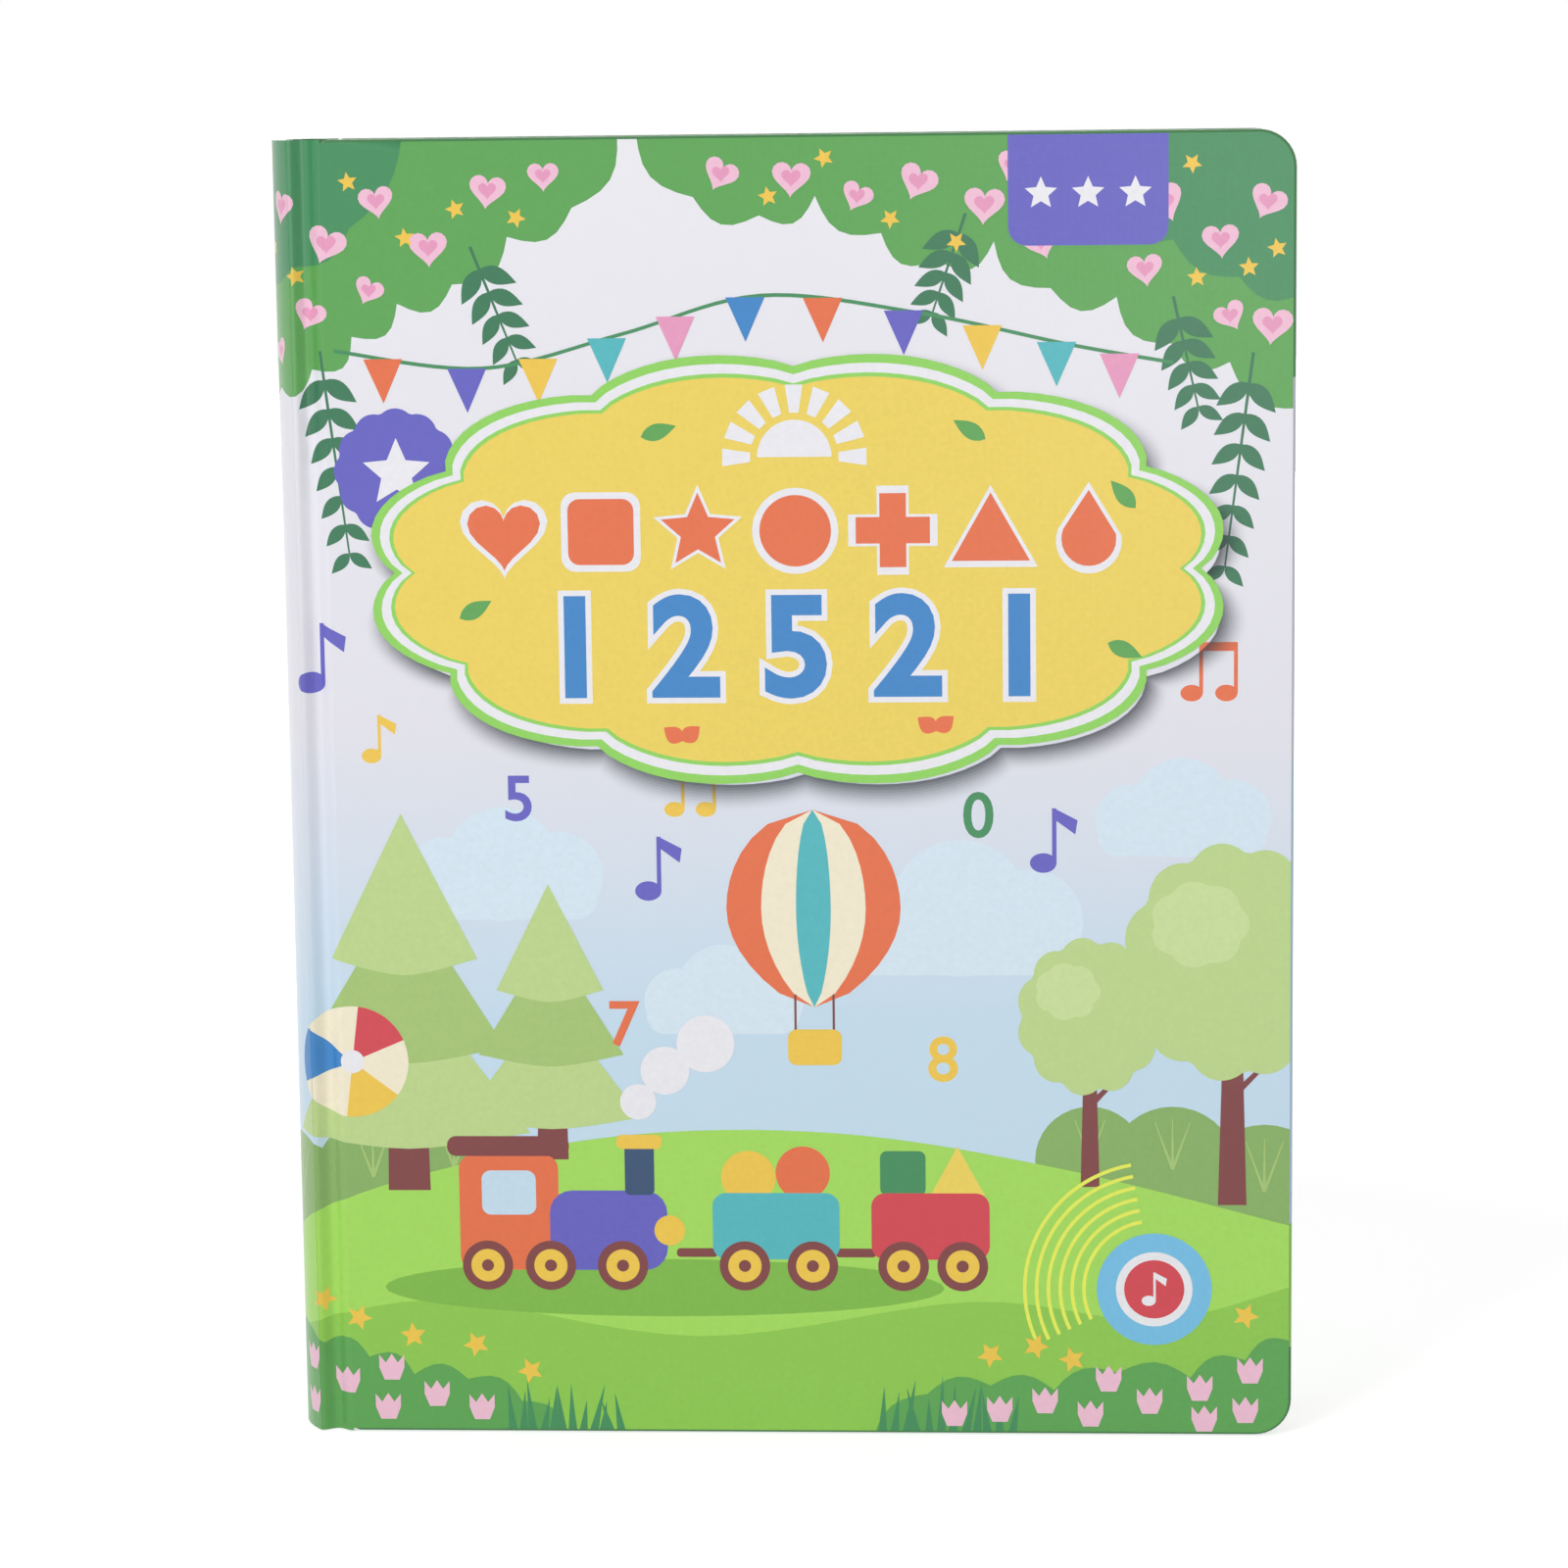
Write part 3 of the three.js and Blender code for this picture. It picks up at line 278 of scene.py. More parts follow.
# %% Named colours
WHITE = "#ECEBF1"
LILAC = "#E4E3EC"
SKY = "#C5DDEF"
CLOUD = "#D6E7F4"
LEAF = "#58A14F"
LEAF_DARK = "#3B8A57"
SPRIG = "#2F7350"
CROWN = "#BCD58C"
CROWN_DARK = "#A5C473"
OLIVE = "#86AE62"
LIME = "#A3DA5B"
LIME_DARK = "#8DC74C"
EDGE_LIME = "#8FD35C"
YELLOW = "#EDD25C"
GOLD = "#EFC64A"
ORANGE = "#E56F44"
BLUE = "#3683C6"
PURPLE = "#625EC0"
PINK = "#F1BFD6"
ROSE = "#E79ABF"
MAROON = "#7C3B3C"
TEAL = "#4FB6BE"
RED = "#D2414E"
CREAM = "#F3EAD0"
NAVY = "#2C4A6E"
RING = "#74BEE6"
HILL_SHADE = "#7DB844"
CROWN_LIGHT = "#C8DE9B"
ARC_YELLOW = "#E8EE5A"
SHADOW_GREY = "#3A434C"
print("the palette's greens", LEAF, LEAF_DARK, SPRIG, LIME, CROWN)

# %% [markdown]
# ## Ground and edges
# The sky fades from blue above the hill to white at the head: a smooth ramp by height does that.
# The wrap also runs over the boards' edges and along the spine's ends. There only a thin line of
# it shows, and the edges take plain bands of the same colours, at the same heights. The bands are
# darker than the face's colours: that is painted shade, for edges that turn away from the lamps.

# %% The two inks that change with height
ground_ink = height_ramp("ink_ground", [(0, SKY), (92, SKY), (158, LILAC), (HEIGHT, WHITE)])
# The edge colours are the face's colours made darker, as painted shade on edges turned from the lamps.
SHADED_EDGE_LEAF = "#3B7A43"
SHADED_EDGE_SKY = "#A3BCD0"
SHADED_EDGE_LILAC = "#B9B8C6"
shaded_edge_ink = height_ramp(
    "ink_shaded_edges",
    [(0, SHADED_EDGE_LEAF), (20, "#7FB548"), (47, SHADED_EDGE_SKY), (150, SHADED_EDGE_LILAC), (232, SHADED_EDGE_LEAF)],
    "CONSTANT",
)
print("inks that change with height", ground_ink.name, shaded_edge_ink.name)

# %% [markdown]
# ## Card, plastic and metal
# Under the wrap are card leaves, a soft card round the module, moulded plastic, plated steel and
# the parts of the sound module. They differ in colour, in roughness, in how metallic they are and
# in how fine their grain is. One function can make them all from those values, and a table of
# them is easier to compare and change than twenty separate materials.


# %% A plain surface
def plain(name, colour, roughness, metallic=0.0, scale=1500, bump=0.3, depth=0.02, mottle=0.04):
    material, nodes, links, shader = start(name, roughness, metallic)
    coordinates = object_coordinates(nodes)
    fac = noise(nodes, links, coordinates, scale)
    links.new(mottled(nodes, links, fac, linear(colour), mottle), shader.inputs["Base Color"])
    add_bump(nodes, links, shader, fac, depth * MM, bump)
    rough = nodes.new("ShaderNodeMapRange")
    rough.inputs["To Min"].default_value = max(roughness - 0.08, 0.02)
    rough.inputs["To Max"].default_value = min(roughness + 0.08, 1)
    links.new(fac, rough.inputs["Value"])
    links.new(rough.outputs["Result"], shader.inputs["Roughness"])
    return material


# %% The table of surfaces, by the record's slot names
surfaces = {
    "page_card": plain("page_card", "#F3F1EB", 0.55, scale=900, bump=0.25),
    "lining_paper": plain("lining_paper", "#F4D66A", 0.6, scale=1100),
    "well_card": plain("well_card", "#E7E1D3", 0.85, scale=700, bump=0.6, depth=0.05),
    "key_film": plain("key_film", "#D2414E", 0.3, scale=500, bump=0.1),
    "white_plastic": plain("white_plastic", "#EDEDEA", 0.42, bump=0.2),
    "grey_plastic": plain("grey_plastic", "#BDC1C6", 0.5, bump=0.25),
    "dark_plastic": plain("dark_plastic", "#2A2C30", 0.45, bump=0.2),
    "steel": plain("steel", "#C3C6CA", 0.32, 1.0, scale=2500),
    "contact_steel": plain("contact_steel", "#D5D8DB", 0.25, 1.0, scale=2500),
    "cell_jacket": plain("cell_jacket", "#3D9B8F", 0.3, scale=300, bump=0.05),
    "board_laminate": plain("board_laminate", "#1F6B45", 0.4, scale=400, bump=0.2),
    "black_epoxy": plain("black_epoxy", "#17171B", 0.28, scale=200, bump=0.15),
    "cone_paper": plain("cone_paper", "#28282B", 0.85, scale=1800, bump=0.6),
    "foam": plain("foam", "#3A3A3C", 0.95, scale=3000, bump=0.9, depth=0.08),
    "ferrite": plain("ferrite", "#54575B", 0.6, scale=1800, bump=0.4),
    "amber_film": plain("amber_film", "#D98A2B", 0.3, scale=500, bump=0.1),
    "red_sleeve": plain("red_sleeve", "#C8322E", 0.5, scale=900, bump=0.15),
    "black_sleeve": plain("black_sleeve", "#1D1D1F", 0.5, scale=900, bump=0.15),
}
print("surfaces in the table", len(surfaces))

# %% [markdown]
# ## Dotted lining paper
# The linings are the papers pasted inside the covers, often with a small repeating pattern. A grid
# of dots can be made by arithmetic: divide the place by the pitch, keep the fraction, and ask how
# far it is from the middle of its cell. That needs no image and repeats without end.


# %% Dots on a plain surface
def dotted(material, colour, pitch, radius):
    """Print a grid of dots of another colour on a plain surface."""
    nodes, links = material.node_tree.nodes, material.node_tree.links
    shader = nodes["Principled BSDF"]
    ground = shader.inputs["Base Color"].links[0].from_socket
    steps = []
    to_cells = (1 / pitch, 0, 1 / pitch)
    to_middle = (0.5, 0, 0.5)
    for operation, value in (
        ("MULTIPLY", to_cells),
        ("FRACTION", None),
        ("SUBTRACT", to_middle),
        ("LENGTH", None),
    ):
        step = nodes.new("ShaderNodeVectorMath")
        step.operation = operation
        if value:
            step.inputs[1].default_value = value
        if steps:
            links.new(steps[-1].outputs["Vector"], step.inputs[0])
        else:
            links.new(object_coordinates(nodes), step.inputs[0])
        steps.append(step)
    inside = nodes.new("ShaderNodeMath")
    inside.operation = "LESS_THAN"
    inside.inputs[1].default_value = radius / pitch
    links.new(steps[-1].outputs["Value"], inside.inputs[0])
    mix = nodes.new("ShaderNodeMix")
    mix.data_type = "RGBA"
    colour_sockets = [i for i in mix.inputs if i.type == "RGBA"]
    colour_sockets[1].default_value = linear(colour)
    links.new(ground, colour_sockets[0])
    links.new(inside.outputs["Value"], mix.inputs["Factor"])
    links.new([o for o in mix.outputs if o.type == "RGBA"][0], shader.inputs["Base Color"])


dotted(surfaces["lining_paper"], "#FBF3CF", 9 * MM, 1.5 * MM)
print("dots 9 mm apart on the lining")

# %% Give each solid of the frame its surface
slots = {s["node"]: s["material_slot"] for s in frame["record"]["subparts"]}
for name, node in frame["nodes"].items():
    node.data.materials.clear()
    # Solids without a surface of their own take the edge ink, with its painted shade.
    node.data.materials.append(surfaces.get(slots[name], shaded_edge_ink))
print("solids dressed", len(frame["nodes"]))

# %% [markdown]
# ## Shapes for the printed design
# In print, a design like this is flat areas of ink. Each area is an outline here too: X along the
# cover, Z up it, both in millimetres, with a layer number and an ink. Curves from a drawing
# program would also do, but short functions keep every motif easy to read and change. They only
# fill a list now. The list is pressed on to the case later, all at once.

# %% The list, and discs and rings for it
drawn = []


def draw(points, layer, colour):
    drawn.append(([Vector((x, z)) for x, z in points], None, layer, colour))


def ring_points(x, z, rx, rz, count=40, a0=0.0, a1=2 * math.pi):
    steps = [a0 + (a1 - a0) * i / count for i in range(count)]
    return [(x + rx * math.cos(a), z + rz * math.sin(a)) for a in steps]


def turn(points, x, z, angle):
    c, s = math.cos(angle), math.sin(angle)
    return [(x + c * px - s * pz, z + s * px + c * pz) for px, pz in points]


def disc(x, z, r, layer, colour, rz=None, count=36):
    draw(ring_points(x, z, r, rz or r, count), layer, colour)


def tally(step):
    print(step, "- shapes so far:", len(drawn))


# %% Stars, hearts and leaves
def star_points(r, tips=5, inner=0.46):
    points = []
    for i in range(2 * tips):
        a = math.pi / 2 + math.pi * i / tips
        radius = r if i % 2 == 0 else r * inner
        points.append((radius * math.cos(a), radius * math.sin(a)))
    return points


def heart_points(r, count=28):
    points = []
    for i in range(count):
        t = 2 * math.pi * i / count
        px = 16 * math.sin(t) ** 3
        pz = 13 * math.cos(t) - 5 * math.cos(2 * t) - 2 * math.cos(3 * t) - math.cos(4 * t)
        points.append((px * r / 17, pz * r / 17))
    return points


def leaf_points(length, width, count=9):
    top = [
        (length * i / count, width * math.sin(math.pi * (i / count) ** 0.8) / 2)
        for i in range(count + 1)
    ]
    low_side = [(px, -pz) for px, pz in reversed(top[1:-1])]
    return top + low_side


print("points in a star", len(star_points(1)), "and in a heart", len(heart_points(1)))


# %% Boxes with soft corners
def soft_box(x, z, width, height, r, count=5):
    points = []
    for cx, cz, a in (
        (x + width / 2 - r, z + height / 2 - r, 0),
        (x - width / 2 + r, z + height / 2 - r, math.pi / 2),
        (x - width / 2 + r, z - height / 2 + r, math.pi),
        (x + width / 2 - r, z - height / 2 + r, 1.5 * math.pi),
    ):
        quarter = [a + math.pi / 2 * i / count for i in range(count + 1)]
        points += [(cx + r * math.cos(b), cz + r * math.sin(b)) for b in quarter]
    return points


print("points in a soft box", len(soft_box(0, 0, 2, 2, 0.5)))


# %% Scalloped ovals and parts of rings
def scalloped(x, z, rx, rz, lobes, depth, per_lobe=9, phase=0.0):
    """An oval whose rim is a row of round lobes."""
    points = []
    total = lobes * per_lobe
    for i in range(total):
        a = 2 * math.pi * i / total + phase
        bulge = abs(math.cos(lobes * (a - phase) / 2)) ** 0.8
        grow = 1 - depth + depth * bulge
        points.append((x + rx * grow * math.cos(a), z + rz * grow * math.sin(a)))
    return points


def band_points(x, z, r0, r1, a0, a1, count=24):
    outer = [a0 + (a1 - a0) * i / count for i in range(count + 1)]
    return [(x + r1 * math.cos(a), z + r1 * math.sin(a)) for a in outer] + [
        (x + r0 * math.cos(a), z + r0 * math.sin(a)) for a in reversed(outer)
    ]


# %% Smooth lines, and lines with bumps
def curve_through(points, per_span=8):
    """A smooth line through the points."""
    padded = [points[0]] + list(points) + [points[-1]]
    made = []
    for i in range(1, len(padded) - 2):
        p0, p1, p2, p3 = (Vector(p) for p in padded[i - 1 : i + 3])
        for k in range(per_span):
            t = k / per_span
            bend = 2 * p0 - 5 * p1 + 4 * p2 - p3
            twist = 3 * p1 - p0 - 3 * p2 + p3
            made.append(0.5 * (2 * p1 + (p2 - p0) * t + bend * t**2 + twist * t**3))
    return [tuple(p) for p in made] + [points[-1]]


def bumpy_edge(points, bump, per_bump=6):
    """Round bumps between each two points of an open line, standing out on its left."""
    made = []
    for a, b in zip(points, points[1:]):
        a, b = Vector(a), Vector(b)
        out = Vector((-(b - a).y, (b - a).x)).normalized() * bump
        for k in range(per_bump):
            t = k / per_bump
            made.append(tuple(a.lerp(b, t) + out * math.sin(math.pi * t)))
    return made + [tuple(points[-1])]


# %% Plain numerals, as flat faces of the built-in font
def numeral(text, x, z, size, layer, colour, bold=0.0, spacing=1.25, flip=1):
    """Plain numerals, cut from the built-in font as flat faces."""
    curve = bpy.data.curves.new("numeral", "FONT")
    curve.body = text
    curve.align_x = "CENTER"
    curve.align_y = "CENTER"
    curve.size = size
    curve.offset = bold
    curve.space_character = spacing
    curve.resolution_u = 5
    holder = bpy.data.objects.new("numeral", curve)
    bpy.context.scene.collection.objects.link(holder)
    graph = bpy.context.evaluated_depsgraph_get()
    mesh = holder.evaluated_get(graph).to_mesh()
    verts = [Vector((x + flip * v.co.x, z + v.co.y)) for v in mesh.vertices]
    faces = [list(p.vertices) for p in mesh.polygons]
    holder.evaluated_get(graph).to_mesh_clear()
    bpy.data.objects.remove(holder)
    drawn.append((verts, faces, layer, colour))


# %% [markdown]
# ## The front cover: sky, hill and trees
# The front carries a made-up garden scene. The layer numbers say what lies over what: the sheet is
# 0, the hill 4, what stands on it 5 to 9, and the badge and tab 10 and up. A few motifs are turned
# by chance, from one seeded generator, so that the print comes out the same every time.

# %% The sheet and its clouds
rng = random.Random(7)
LEFT = SPINE_U - 1
RIGHT = FORE_X + 1
TOP = HEIGHT + 1

draw([(LEFT, -1), (RIGHT, -1), (RIGHT, TOP), (LEFT, TOP)], 0, "ground")


def cloud(cx, cz, w):
    disc(cx, cz, w * 0.42, 1, CLOUD)
    disc(cx + w * 0.42, cz - w * 0.08, w * 0.32, 1, CLOUD)
    disc(cx - w * 0.42, cz - w * 0.1, w * 0.3, 1, CLOUD)
    draw(soft_box(cx, cz - w * 0.24, w * 1.4, w * 0.34, w * 0.17), 1, CLOUD)


for cx, cz, w in ((-62, 128, 30), (38, 118, 36), (86, 140, 26), (-14, 100, 24)):
    cloud(cx, cz, w)
tally("sheet and clouds")

# %% Bushes with three ribs each
BUSHES = ((-112, 52, 15), (-92, 58, 13), (-74, 60, 11), (66, 62, 12), (84, 60, 14), (104, 55, 15))
for cx, cz, r in BUSHES:
    disc(cx, cz, r, 2, OLIVE)
    for tilt in (-0.35, 0.0, 0.35):
        rib = turn([(-0.35, 0), (0.35, 0), (0.1, r * 0.8), (-0.1, r * 0.8)], cx, cz, tilt)
        draw(rib, 3, CROWN_DARK)
tally("bushes")


# %% The hill, and the nearer rise before it
def rise_of_land(points, layer, colour):
    draw([(LEFT, -1)] + curve_through(points) + [(RIGHT, -1)], layer, colour)


rise_of_land([(LEFT, 42), (-90, 56), (-40, 67), (10, 68), (60, 60), (RIGHT, 47)], 4, LIME)
rise_of_land([(LEFT, 20), (-80, 30), (-20, 22), (40, 30), (80, 26), (RIGHT, 34)], 5, LIME_DARK)
draw(ring_points(-28, 33, 62, 6.5), 6, HILL_SHADE)
tally("land")


# %% Fir trees: a trunk and three skirts
def trunk(x, foot, head, low_half, high_half):
    return [(x - low_half, foot), (x + low_half, foot), (x + high_half, head), (x - high_half, head)]


def fir(x, z, size):
    draw(trunk(x, z, z + size, size * 0.09, size * 0.07), 4, MAROON)
    for k, (half, base, peak) in enumerate(((0.52, 0.25, 0.95), (0.42, 0.62, 1.3), (0.31, 1.0, 1.62))):
        left, right = x - size * half, x + size * half
        low, middle = z + size * base, z + size * (base - 0.07)
        points = curve_through([(left, low), (x, middle), (right, low)], 6)
        draw(points + [(x, z + size * peak)], 5, CROWN if k != 1 else CROWN_DARK)


fir(-84, 55, 52)
fir(-52, 62, 38)
tally("firs")

# %% Round trees: a trunk, a branch and a scalloped crown
for tx, tz, r in ((97, 58, 24), (66, 62, 16)):
    draw(trunk(tx, tz - 6, tz + r * 2, r * 0.13, r * 0.07), 5, MAROON)
    branch = [(0, -0.6), (r * 0.75, -0.2), (r * 0.75, 0.3), (0, 0.9)]
    draw(turn(branch, tx, tz + r * 0.75, 0.8), 5, MAROON)
    draw(scalloped(tx, tz + r * 2, r, r * 1.1, 11, 0.1), 6, CROWN)
    draw(scalloped(tx - r * 0.3, tz + r * 2.35, r * 0.45, r * 0.4, 7, 0.12), 7, CROWN_LIGHT)
tally("round trees")

# %% [markdown]
# ## The front cover: leaves, hearts and bunting
# A canopy of leaves hangs over the scene, as a green frame that holds the eye on the middle. Its
# lower edge is a row of bumps along a few points, which reads as foliage at this scale. Drawing
# each leaf would cost many shapes, so only the hanging sprigs have single leaves.


# %% The canopy
def canopy(points, bump, layer, colour):
    edge = bumpy_edge(points, bump)
    draw(edge + [(points[-1][0], TOP), (points[0][0], TOP)], layer, colour)


HEAD_LEFT = [
    (LEFT, 236), (-111, 232), (-101, 236), (-92, 243), (-82, 250), (-70, 254), (-58, 264),
    (-44, 270), (-34, TOP),
]
HEAD_RIGHT = [
    (-30, TOP), (-18, 272), (-4, 268), (8, 272), (22, 264), (34, 258), (46, 262), (58, 252),
    (72, 250), (84, 240), (96, 236), (RIGHT, 226),
]
DARK_LEFT = [(LEFT, 256), (-104, 258), (-92, 266), (-80, TOP)]
DARK_RIGHT = [(58, TOP), (70, 268), (84, 262), (98, 254), (RIGHT, 250)]
canopy(HEAD_LEFT[::-1], 4, 5, LEAF)
canopy(HEAD_RIGHT[::-1], 4, 5, LEAF)
canopy(DARK_LEFT[::-1], 3, 6, LEAF_DARK)
canopy(DARK_RIGHT[::-1], 3, 6, LEAF_DARK)
tally("canopy")


# %% Hanging sprigs
def sprig(x, z, length, angle, leaves=7):
    stem = turn([(0, -0.35), (length, -0.2), (length, 0.2), (0, 0.35)], x, z, angle)
    draw(stem, 7, SPRIG)
    for i in range(leaves):
        along = length * (i + 1) / leaves
        px = x + math.cos(angle) * along
        pz = z + math.sin(angle) * along
        size = 8.5 - 3 * i / leaves
        for side in (1, -1):
            draw(turn(leaf_points(size, size * 0.45), px, pz, angle + side * 0.85), 7, SPRIG)


sprig(-99, 240, 44, -1.45)
sprig(-66, 262, 26, -1.2, 5)
sprig(101, 238, 46, -1.7)
sprig(40, 268, 22, -1.9, 5)
sprig(84, 250, 24, -1.35, 5)
tally("sprigs")

# %% Hearts and small stars among the leaves
for x, z, r in (
    (-108, 271, 4.2), (-97, 263, 4.6), (-86, 272, 4.0), (-101, 248, 3.8), (-75, 262, 4.4), (-62, 274, 4.2),
    (-88, 253, 3.4), (-50, 277, 3.6), (-12, 277, 4.0), (3, 276, 4.4), (17, 272, 3.6), (30, 275, 4.4),
    (44, 270, 4.6), (56, 262, 4.0), (50, 278, 3.6), (67, 275, 4.4), (78, 256, 4.0), (82, 270, 4.6),
    (94, 262, 4.2), (105, 244, 4.6), (96, 246, 3.6), (104, 270, 4.2), (-111, 240, 3.4),
):
    draw(turn(heart_points(r), x, z, rng.uniform(-0.5, 0.5)), 8, PINK)
    draw(turn(heart_points(r * 0.5), x, z, 0), 9, ROSE)
for x, z in ((-104, 256), (-92, 276), (-80, 264), (-69, 270), (-56, 268), (-2, 272), (24, 267), (38, 262),
             (62, 270), (73, 264), (89, 254), (100, 256), (106, 260), (88, 278), (10, 280), (-114, 262)):
    draw(turn(star_points(2.2), x, z, rng.uniform(0, 1)), 8, GOLD)
tally("hearts and stars")

# %% Bunting on its string
string = curve_through([(-96, 240), (-64, 236), (-34, 243), (-4, 251), (30, 247), (62, 240), (84, 236)], 10)
above = [(x, z + 0.4) for x, z in string]
draw(above + [(x, z - 0.4) for x, z in reversed(string)], 7, LEAF_DARK)
flags = [ORANGE, PURPLE, GOLD, TEAL, ROSE, BLUE]
for i, k in enumerate(range(4, len(string) - 4, 5)):
    x, z = string[k]
    draw([(x - 4.2, z), (x + 4.2, z), (x, z - 9.5)], 8, flags[i % len(flags)])
tally("bunting")

# %% [markdown]
# ## The front cover: tab and badges
# A cover of this kind has a tab at its head, a small round badge, and one large badge that seems
# to lie on the page. Plain shapes and numerals fill them. The large badge's shadow is printed too. It
# could be one blurred image, but nine thin rings do it, each a little more opaque than the one
# outside it. They don't overlap, so no ray has to pass more than one see-through layer.

# %% Purple tab and round badge
tab = soft_box(66, HEIGHT - 8, 34, 32, 4)
draw(tab, 10, PURPLE)
for k in (-1, 0, 1):
    draw(turn(star_points(3.6), 66 + 10 * k, HEIGHT - 13, 0), 11, WHITE)
draw(scalloped(-83, 214, 13.6, 13.6, 12, 0.08), 8, PURPLE)
draw(turn(star_points(7.6), -83, 213.6, 0), 9, WHITE)
tally("tab and round badge")

# %% The large badge: a scalloped oval that can grow and shrink
BADGE = (3, 192)


def badge(grow, dx=0.0, dz=0.0):
    return scalloped(BADGE[0] + dx, BADGE[1] + dz, 94 + grow, 47.5 + grow, 12, 0.075, 12, math.pi / 12)


print("the badge is", round(2 * 94 / (FORE_X - SPINE_X), 2), "of the cover's width")

# %% Its printed shadow, in rings that don't overlap
SHADES = 9
SHADE_STEP = 0.65
SHADE_SHIFT = (1.6, -2.6)
for k in range(SHADES):
    outer_rim = badge(3.4 - SHADE_STEP * k, *SHADE_SHIFT)
    inner_rim = badge(2.75 - SHADE_STEP * k, *SHADE_SHIFT)
    count = len(outer_rim)
    quads = [(i, (i + 1) % count, count + (i + 1) % count, count + i) for i in range(count)]
    drawn.append(([Vector(p) for p in outer_rim + inner_rim], quads, 9, f"shade_{k}"))
tally("badge shadow")

# %% Its three rims and yellow field
draw(badge(0), 10, EDGE_LIME)
draw(badge(-1.9), 11, WHITE)
draw(badge(-4.0), 12, EDGE_LIME)
draw(badge(-4.9), 13, YELLOW)
tally("badge")

# %% A half sun at its head
SUN = (3, 216.5)
for k in range(9):
    ray = [(9.5, -1.0), (15.5, -1.9), (15.5, 1.9), (9.5, 1.0)]
    draw(turn(ray, *SUN, math.pi * k / 8), 14, WHITE)
draw(ring_points(*SUN, 8, 8, 24, 0, math.pi) + [(SUN[0] - 8, SUN[1])], 14, WHITE)
tally("sun")


# %% More plain shapes
def square_points(r):
    return soft_box(0, 0, 1.7 * r, 1.7 * r, r * 0.3)


def triangle_points(r):
    return [(-r, -r * 0.8), (r, -r * 0.8), (0, r * 0.95)]


def disc_points(r):
    return ring_points(0, 0, r * 0.92, r * 0.92)


def cross_points(r):
    a = r * 0.34
    b = r * 0.95
    return [
        (a, b), (-a, b), (-a, a), (-b, a), (-b, -a), (-a, -a), (-a, -b), (a, -b), (a, -a),
        (b, -a), (b, a), (a, a),
    ]


def drop_points(r):
    lower = ring_points(0, -r * 0.25, r * 0.7, r * 0.7, 18, math.pi * 0.88, math.pi * 2.12)
    return lower + [(0, r)]


# %% A row of seven shapes, each with a white outline
def outlined(points_of, x, z, size, colour):
    draw(turn(points_of(size + 1.7), x, z, 0), 14, WHITE)
    draw(turn(points_of(size), x, z, 0), 15, colour)


row = (heart_points, square_points, star_points, disc_points, cross_points, triangle_points, drop_points)
for i, points_of in enumerate(row):
    outlined(points_of, -60 + i * 21, 200.6, 8.4, ORANGE)
tally("row of shapes")

# %% A row of numerals, and leaves round the badge
numeral("12521", 3, 174.4, 30, 14, WHITE, 2.1, 1.6)
numeral("12521", 3, 174.4, 30, 15, BLUE, 0.9, 1.6)
LEAVES = ((-70, 182, 0.5), (76, 205, 2.3), (70, 176, -0.4), (-30, 221, 0.3), (44, 220, 2.6))
for x, z, angle in LEAVES:
    draw(turn(leaf_points(8, 3.6), x, z, angle), 14, LEAF)
for x, z in ((-22, 155), (33, 157)):
    draw(turn(leaf_points(5, 3.8), x, z, 0.7), 14, ORANGE)
    draw(turn(leaf_points(5, 3.8), x, z, 2.5), 14, ORANGE)
tally("numerals and leaves")

# %% [markdown]
# ## The front cover: notes, balloon, train and ball
# Small notes and numerals float in the sky and hint at the sounds inside. The toys below are the
# largest motifs after the badge. Each is built from the same few outlines, as cut paper would be:
# a wheel is three discs, a wagon is a soft box, a balloon is five bulging stripes.


# %% Notes, single and in pairs
def note(x, z, size, colour, layer=7):
    disc(x, z, size * 0.24, layer, colour, size * 0.18)
    left, right = x + size * 0.16, x + size * 0.24
    stem = [(left, z), (right, z), (right, z + size), (left, z + size)]
    draw(stem, layer, colour)
    flag = [(0.2, 1.0), (0.62, 0.78), (0.58, 0.52), (0.2, 0.8)]
    draw([(x + px * size, z + pz * size) for px, pz in flag], layer, colour)


def beamed(x, z, size, colour, layer=7):
    for dx in (0, 0.62):
        disc(x + dx * size, z, size * 0.2, layer, colour, size * 0.15)
        draw(soft_box(x + (dx + 0.17) * size, z + size * 0.45, size * 0.07, size * 0.9, 0.1), layer, colour)
    draw(soft_box(x + size * 0.48, z + size * 0.84, size * 0.68, size * 0.16, 0.1), layer, colour)


note(-103, 168, 13, PURPLE)
note(-30, 122, 12, PURPLE)
note(56, 128, 12, PURPLE)
beamed(-24, 140, 11, GOLD)
beamed(88, 165, 12, ORANGE)
note(-90, 152, 9, GOLD)
tally("notes")

# %% Four small numerals
SKY_NUMERALS = (
    ("7", -36, 92, ORANGE), ("0", 42, 138, LEAF_DARK), ("5", -58, 142, PURPLE), ("8", 34, 84, GOLD),
)
for text, x, z, colour in SKY_NUMERALS:
    numeral(text, x, z, 14, 7, colour, 0.2)
tally("small numerals")


